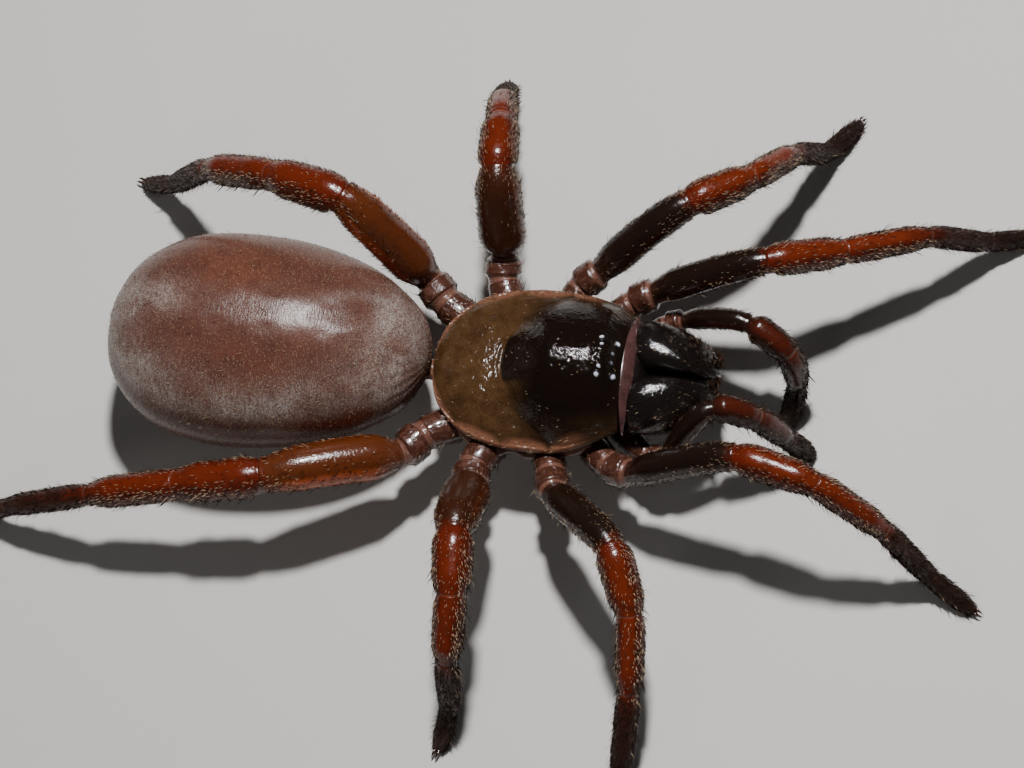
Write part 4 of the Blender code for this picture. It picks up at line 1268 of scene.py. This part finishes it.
class SPIDER_OT_chelicerae(bpy.types.Operator):
    """Makes the chelicerae with their digging spines, teeth, bristles and fangs"""

    bl_idname = "spider.chelicerae"
    bl_label = "Chelicerae"

    def execute(self, context):
        colours, sizes = context.scene.spider_colours, context.scene.spider_sizes
        ball = ball_skin(np.zeros(3), 1.0, (1, 0, 0), 40, 60)
        base = Skin(ball.grid * np.array((0.62, 1.75, 1.15)) + np.array((4.02, 0.0, 3.95)))
        soft = plain_finish("jaw_base", colours.jaw, (0.012, 0.006, 0.005), 0.3, 0.3, 0.02, 0.2)
        add_piece("jaw_base", base, soft)
        finish = jaw_finish(colours)
        darker = (0.05, 0.012, 0.004)
        fang_finish = plain_finish("fang_shell", colours.fang, darker, 0.6, 0.1, 0.004, 0.6)
        hairy = bristle_finish("jaw_bristles", colours.bristle, colours.pale_glint_bristle, 0.86)
        thin = sizes.bristle_radius / MM
        for side, sign in SIDES.items():
            draw = np.random.default_rng(SEED + int(sign))
            skin = jaw_skin(sign)
            name = "chelicera_" + side
            add_piece(name + "_shell", skin, finish, (name,))
            points = [mirrored(point, sign) for point in FANG_POINTS]
            fang = tube_skin(points, FANG_RADII, 70, flatten=0.85)
            name = "fang_" + side
            add_piece(name + "_point", fang, fang_finish, (name,))
            coat = Coat(draw)
            ahead, lift = skin.traits["ahead"], skin.traits["lift"]
            facing = skin.normals()[..., 1] * sign
            short = (facing > -0.35) * (0.08 + ahead ** 2) * (lift > -0.6)
            coat.grow(skin.scatter(700, draw, short), 0.15, 0.8 * thin, 35.0)
            long = (facing > -0.35) * (ahead > 0.55) * (lift > -0.2)
            coat.grow(skin.scatter(110, draw, long), 0.34, thin, 50.0, tone=(0.0, 0.5))
            digging = (ahead > 0.93) * (lift > -0.3) * (lift < 0.9)
            coat.grow(skin.scatter(46, draw, digging), 0.34, 0.045, 55.0, 0.4, (0.0, 0.1), 0.1)
            teeth = (lift < -0.86) * (ahead > 0.3) * (ahead < 0.95) * (facing < 0.0)
            coat.grow(skin.scatter(34, draw, teeth), 0.16, 0.06, 85.0, 0.1, (0.0, 0.1), 0.1)
            add_piece("chelicera_" + side + "_bristles", coat, hairy)
        return {"FINISHED"}


class SPIDER_OT_abdomen(bpy.types.Operator):
    """Makes the abdomen with its waist, its nap of short hairs and its spinnerets"""

    bl_idname = "spider.abdomen"
    bl_label = "Abdomen"

    def execute(self, context):
        colours, sizes = context.scene.spider_colours, context.scene.spider_sizes
        skin = abdomen_skin()
        add_piece("abdomen_hide", skin, abdomen_finish(colours),
                  ("abdomen", "pedicel"))
        draw = np.random.default_rng(SEED + ABDOMEN_SEED)
        coat = Coat(draw, (0.0, 0.5))
        hairy = 1.0 - skin.traits["waist"]
        thin = sizes.hair_radius / MM
        nap = swept_down(skin.scatter(sizes.abdomen_hairs, draw, hairy), 70.0)
        hair = sizes.hair / MM
        coat.grow(nap, hair, 0.85 * thin, 12.0, 0.7, stray=0.28)
        coat.grow(skin.scatter(700, draw, hairy), 2.2 * hair, 1.2 * thin, 36.0, 0.6, stray=0.4)
        finish = bristle_finish("abdomen_nap", colours.abdomen_warm, colours.hair, 0.62, 1.0)
        add_piece("abdomen_nap", coat, finish)

        warm, pale = colours.abdomen_warm, colours.rim
        finish = plain_finish("spinneret_skin", warm, pale, 0.3, 0.35, 0.02, 0.1)
        hairs = bristle_finish("spinneret_hairs", colours.bristle, colours.hair, 0.5)
        for side, sign in SIDES.items():
            middle = np.array((0.0, SPINNERET_MIDLINE, 0.0))
            points = [mirrored(point, sign) + middle for point in SPINNERET_POINTS]
            long = tube_skin(points, SPINNERET_RADII, 60)
            points = [mirrored(point, sign) + middle for point in INNER_SPINNERET_POINTS]
            short = tube_skin(points, INNER_SPINNERET_RADII, 30, 16)
            name = "spinneret_" + side
            add_piece(name + "_skin", Joined([long, short]), finish, (name,))
            coat = Coat(draw)
            coat.grow(long.scatter(260, draw), 0.24, thin * 1.2, 35.0)
            add_piece(name + "_hairs", coat, hairs)
        return {"FINISHED"}


# Soft skin below the carapace: places along it, and how far each lobe stands out there
PLEURA_LOBES = (
    (-3.85, 0.10), (-2.2, 0.28), (-0.95, 0.32), (-0.56, 0.08), (0.3, 0.26), (1.15, 0.24),
    (1.45, 0.06), (2.1, 0.18), (2.65, 0.14), (2.86, 0.0), (3.75, 0.0),
)
STERNUM_PITS = ((1.2, 0.62), (0.1, 0.8), (-1.1, 0.72))


def powered(value, power):
    """The size of the value to a power, with its own sign."""
    return np.abs(value) ** power * np.sign(value)


def pleura_skin():
    """Soft skin between the carapace and the coxae: rings that are rounded squares, their half
    width the shell's plus lobes between the legs, both closed off at the two ends by the root of
    1 less a high power of the share along."""
    x = np.linspace(3.75, -3.85, 120)[:, None]
    turn = whole_turn(90)[None, :]
    lobes = eased_between(PLEURA_LOBES, x) + 0.02 * np.cos(11.0 * x)
    closing = np.sqrt(np.clip(1.0 - ((x + 0.05) / 3.83) ** 8, 0.0, 1.0))
    half = (0.95 * shell_half_width(x) + lobes) * closing
    high = np.where(np.sin(turn) > 0, 0.46, 1.15) * powered(np.sin(turn), 0.75)
    taper = 1.0 - 0.32 * np.clip(-np.sin(turn), 0.0, None)
    z = shell_margin(x) - 0.55 + high * closing
    y = half * powered(np.cos(turn), 0.75) * taper
    return Skin(np.stack((np.broadcast_to(x, z.shape), y, z), axis=-1))


def sternum_skin():
    """A shield: width and height go as powers of the sine of the share along, and six shallow pits
    are pressed in below."""
    share = np.linspace(0.02, 0.98, 90)[:, None]
    turn = whole_turn(90)[None, :]
    girth = np.sin(share * np.pi)
    y = 1.25 * girth ** 0.7 * np.cos(turn)
    x = -2.75 + 2.525 * (1.0 + np.cos(share * np.pi)) + 0.0 * y
    pits = sum(bump_at(np.hypot(x - at, np.abs(y) - out), 0.14) for at, out in STERNUM_PITS)
    z = 2.72 + 0.84 * girth ** 0.5 * np.sin(turn) + 0.06 * pits * (np.sin(turn) < 0)
    return Skin(np.stack((x, y, z), axis=-1))


class SPIDER_OT_trunk(bpy.types.Operator):
    """Makes the soft skin below the carapace, the sternum and the labium"""

    bl_idname = "spider.trunk"
    bl_label = "Trunk"

    def execute(self, context):
        colours, sizes = context.scene.spider_colours, context.scene.spider_sizes
        finish = plain_finish("soft_skin", colours.rim, (0.12, 0.04, 0.022), 0.5, 0.2, 0.03, 0.6)
        add_piece("trunk_skin", pleura_skin(), finish, ("sternum",))
        plate = sternum_skin()
        darker = (0.09, 0.028, 0.012)
        finish = plain_finish("sternum_shell", colours.sternum, darker, 0.6, 0.22, 0.012, 0.3)
        add_piece("sternum_plate", plate, finish)
        lip = ball_skin(np.array((2.62, 0.0, 2.25)), 0.5, (0, 0, -1), squash=0.62)
        add_piece("labium", lip, finish)
        draw = np.random.default_rng(SEED + STERNUM_SEED)
        coat = Coat(draw)
        thin = sizes.bristle_radius / MM
        coat.grow(plate.scatter(420, draw, plate.normals()[..., 2] < -0.1), 0.34, thin, 40.0)
        coat.grow(lip.scatter(60, draw, lip.normals()[..., 2] < 0.0), 0.22, thin, 50.0)
        finish = bristle_finish("sternum_bristles", colours.bristle, colours.pale_glint_bristle, 0.7)
        add_piece("sternum_bristles", coat, finish)
        return {"FINISHED"}


# Density of the bristles at places along a limb, in segments
BRISTLE_MARKS = (0, 1.9, 2.2, 3.2, 4.2, 5.2, 7)
LEG_DENSITIES = (0.25, 0.3, 0.35, 0.7, 1.2, 2.0, 2.4)
PALP_DENSITIES = (0.3, 0.3, 0.35, 0.9, 1.5, 2.0, 2.0)
PALP_BRISTLES = 1500

# Claws: how far out of the middle each is, its length and its radius
CLAWS = ((0.085, 0.46, 0.055), (-0.085, 0.46, 0.055), (0.0, 0.26, 0.03))


def limb_coat(skin, draw, sizes, count, densities):
    """Bristles of a limb: short ones and a finer fuzz to the sides of a bald stripe down the back,
    a darker brush on the feet, long ones that stand off, and stout spines on the outer segments."""
    segment = skin.traits["segment"] * SEGMENTS
    belly = skin.traits["belly"]
    hard = 1.0 - skin.traits["soft"]
    from_back = np.arccos(np.clip(-belly, -1.0, 1.0))
    sides = 0.08 + ease((from_back - 0.35) / 0.35)
    foot = ease((segment - 4.8) / 0.4)
    dense = np.interp(segment, BRISTLE_MARKS, densities) * hard
    coat = Coat(draw, (0.0, 0.5))
    thin = sizes.bristle_radius / MM
    short, long = sizes.leg_bristle / MM, sizes.long_bristle / MM
    shin = ease((segment - 2.6) / 0.4) * (1.0 - foot) * hard
    off_back = belly > -0.5
    spines = hard * (segment > 3.9) * off_back
    for number, density, length, thickness, rise, curl, tone, stray in (
        (count, shin * (0.25 + sides), 0.65 * short, 0.6 * thin, 22.0, 0.6, (0.2, 1.0), 0.3),
        (count, dense * sides * (1.0 - foot), short, thin, 32.0, 0.6, (0.0, 1.0), 0.2),
        (count, foot * hard, 1.25 * short, thin, 30.0, 0.6, (0.0, 0.72), 0.2),
        (count // 7, dense * off_back, long, 0.9 * thin, 46.0, 0.5, (0.0, 0.9), 0.3),
        (26, spines, 0.45, 0.026, 38.0, 0.3, (0.0, 0.3), 0.2),
    ):
        place = skin.scatter(number, draw, density)
        coat.grow(place, length, thickness, rise, curl, tone, stray)
    return coat


def claws_of(limb, radius):
    """Two main claws and a small one between them, each a tapered hook from the foot's tip."""
    tip, ahead, _, side = (part[0] for part in limb.path.frames(limb.marks[-1:]))
    flat = unit(np.array((ahead[0], ahead[1], 0.0)))
    skins = []
    for out, long, thick in CLAWS:
        root = tip + out * side + np.array((0.0, 0.0, 0.02))
        over = root + (radius + 0.55 * long) * flat + np.array((0.0, 0.0, 0.07))
        point = root + (radius + long) * flat - np.array((0.0, 0.0, 0.14))
        radii = ((0.0, thick), (0.5, 0.9 * thick), (1.0, 0.08 * thick))
        skins.append(tube_skin((root, over, point), radii, 22, 12))
    return Joined(skins)


LEG_PARTS = ("hip", "femur", "shin", "foot")
PALP_PARTS = ("maxilla", "femur", "tip")


class SPIDER_OT_legs(bpy.types.Operator):
    """Makes each leg's skin over all its segments, with its bristles and claws"""

    bl_idname = "spider.legs"
    bl_label = "Legs"

    def execute(self, context):
        colours, sizes = context.scene.spider_colours, context.scene.spider_sizes
        front, hind = colours.front_femur, colours.hind_femur
        between = tuple(0.7 * a + 0.3 * b for a, b in zip(front, hind))
        shin, foot, hind_foot = colours.shin, colours.foot, colours.hind_foot
        first = limb_finish("front_leg_skin", colours, front, shin, foot, 0.05, 0.8)
        third = limb_finish("third_leg_skin", colours, between, shin, hind_foot, 0.12, 0.5)
        last = limb_finish("last_leg_skin", colours, hind, shin, hind_foot, 0.9, 0.5)
        finishes = {"1": first, "2": first, "3": third, "4": last}
        hairy = bristle_finish("leg_bristles", colours.bristle, colours.pale_glint_bristle, 0.72)
        horn = plain_finish("claw_horn", colours.fang, (0.06, 0.018, 0.006), 0.3, 0.15, 0.004)
        for index, leg in enumerate(LEG_POSE):
            limb = leg_limb(leg, sizes.skin_share)
            skin = limb.skin()
            name = "leg_" + leg
            nodes = [name + "_" + part for part in LEG_PARTS]
            add_piece(name + "_skin", skin, finishes[leg[1]], nodes)
            draw = np.random.default_rng(SEED + LEG_SEED + index)
            coat = limb_coat(skin, draw, sizes, sizes.leg_bristles, LEG_DENSITIES)
            add_piece(name + "_bristles", coat, hairy)
            claws = claws_of(limb, FOOT_TIP_RADIUS * 0.7)
            add_piece(name + "_claws", claws, horn)
        return {"FINISHED"}


class SPIDER_OT_palps(bpy.types.Operator):
    """Makes each palp's skin from the maxilla to the tip, with its bristles"""

    bl_idname = "spider.palps"
    bl_label = "Palps"

    def execute(self, context):
        colours, sizes = context.scene.spider_colours, context.scene.spider_sizes
        femur, shin, foot = colours.front_femur, colours.palp, colours.foot
        finish = limb_finish("palp_skin", colours, femur, shin, foot, 0.1, 0.3)
        hairy = bristle_finish("palp_bristles", colours.bristle, colours.pale_glint_bristle, 0.94)
        for index, side in enumerate(SIDES):
            limb = palp_limb(side, sizes.skin_share)
            skin = limb.skin()
            name = "palp_" + side
            nodes = [name + "_" + part for part in PALP_PARTS]
            add_piece(name + "_skin", skin, finish, nodes)
            draw = np.random.default_rng(SEED + PALP_SEED + index)
            coat = limb_coat(skin, draw, sizes, PALP_BRISTLES, PALP_DENSITIES)
            add_piece(name + "_bristles", coat, hairy)
        return {"FINISHED"}


class SPIDER_PT_panel(bpy.types.Panel):
    """Lists the makers and their settings"""

    bl_idname = "SPIDER_PT_panel"
    bl_label = "Trapdoor spider"
    bl_space_type = "VIEW_3D"
    bl_region_type = "UI"
    bl_category = "Spider"

    def draw(self, context):
        for maker in MAKERS:
            self.layout.operator(maker.bl_idname)
        for group in GROUPS:
            settings = getattr(context.scene, GROUPS[group])
            box = self.layout.box()
            for name in group.__annotations__:
                box.prop(settings, name)


MAKERS = (
    SPIDER_OT_stage,
    SPIDER_OT_carapace,
    SPIDER_OT_eyes,
    SPIDER_OT_chelicerae,
    SPIDER_OT_abdomen,
    SPIDER_OT_trunk,
    SPIDER_OT_legs,
    SPIDER_OT_palps,
)
GROUPS = {SpiderColours: "spider_colours", SpiderSizes: "spider_sizes", SpiderStage: "spider_stage"}


def register():
    """Adds the settings, the makers and the panel to Blender."""
    for group, name in GROUPS.items():
        bpy.utils.register_class(group)
        setattr(bpy.types.Scene, name, bpy.props.PointerProperty(type=group))
    for maker in MAKERS + (SPIDER_PT_panel,):
        bpy.utils.register_class(maker)


def unregister():
    """Takes them away again, last first."""
    for maker in reversed(MAKERS + (SPIDER_PT_panel,)):
        bpy.utils.unregister_class(maker)
    for group, name in reversed(GROUPS.items()):
        delattr(bpy.types.Scene, name)
        bpy.utils.unregister_class(group)


def main():
    """Makes every piece."""
    register()
    for maker in MAKERS:
        area, name = maker.bl_idname.split(".")
        getattr(getattr(bpy.ops, area), name)()
    bpy.context.view_layer.update()


if __name__ == "__main__":
    main()
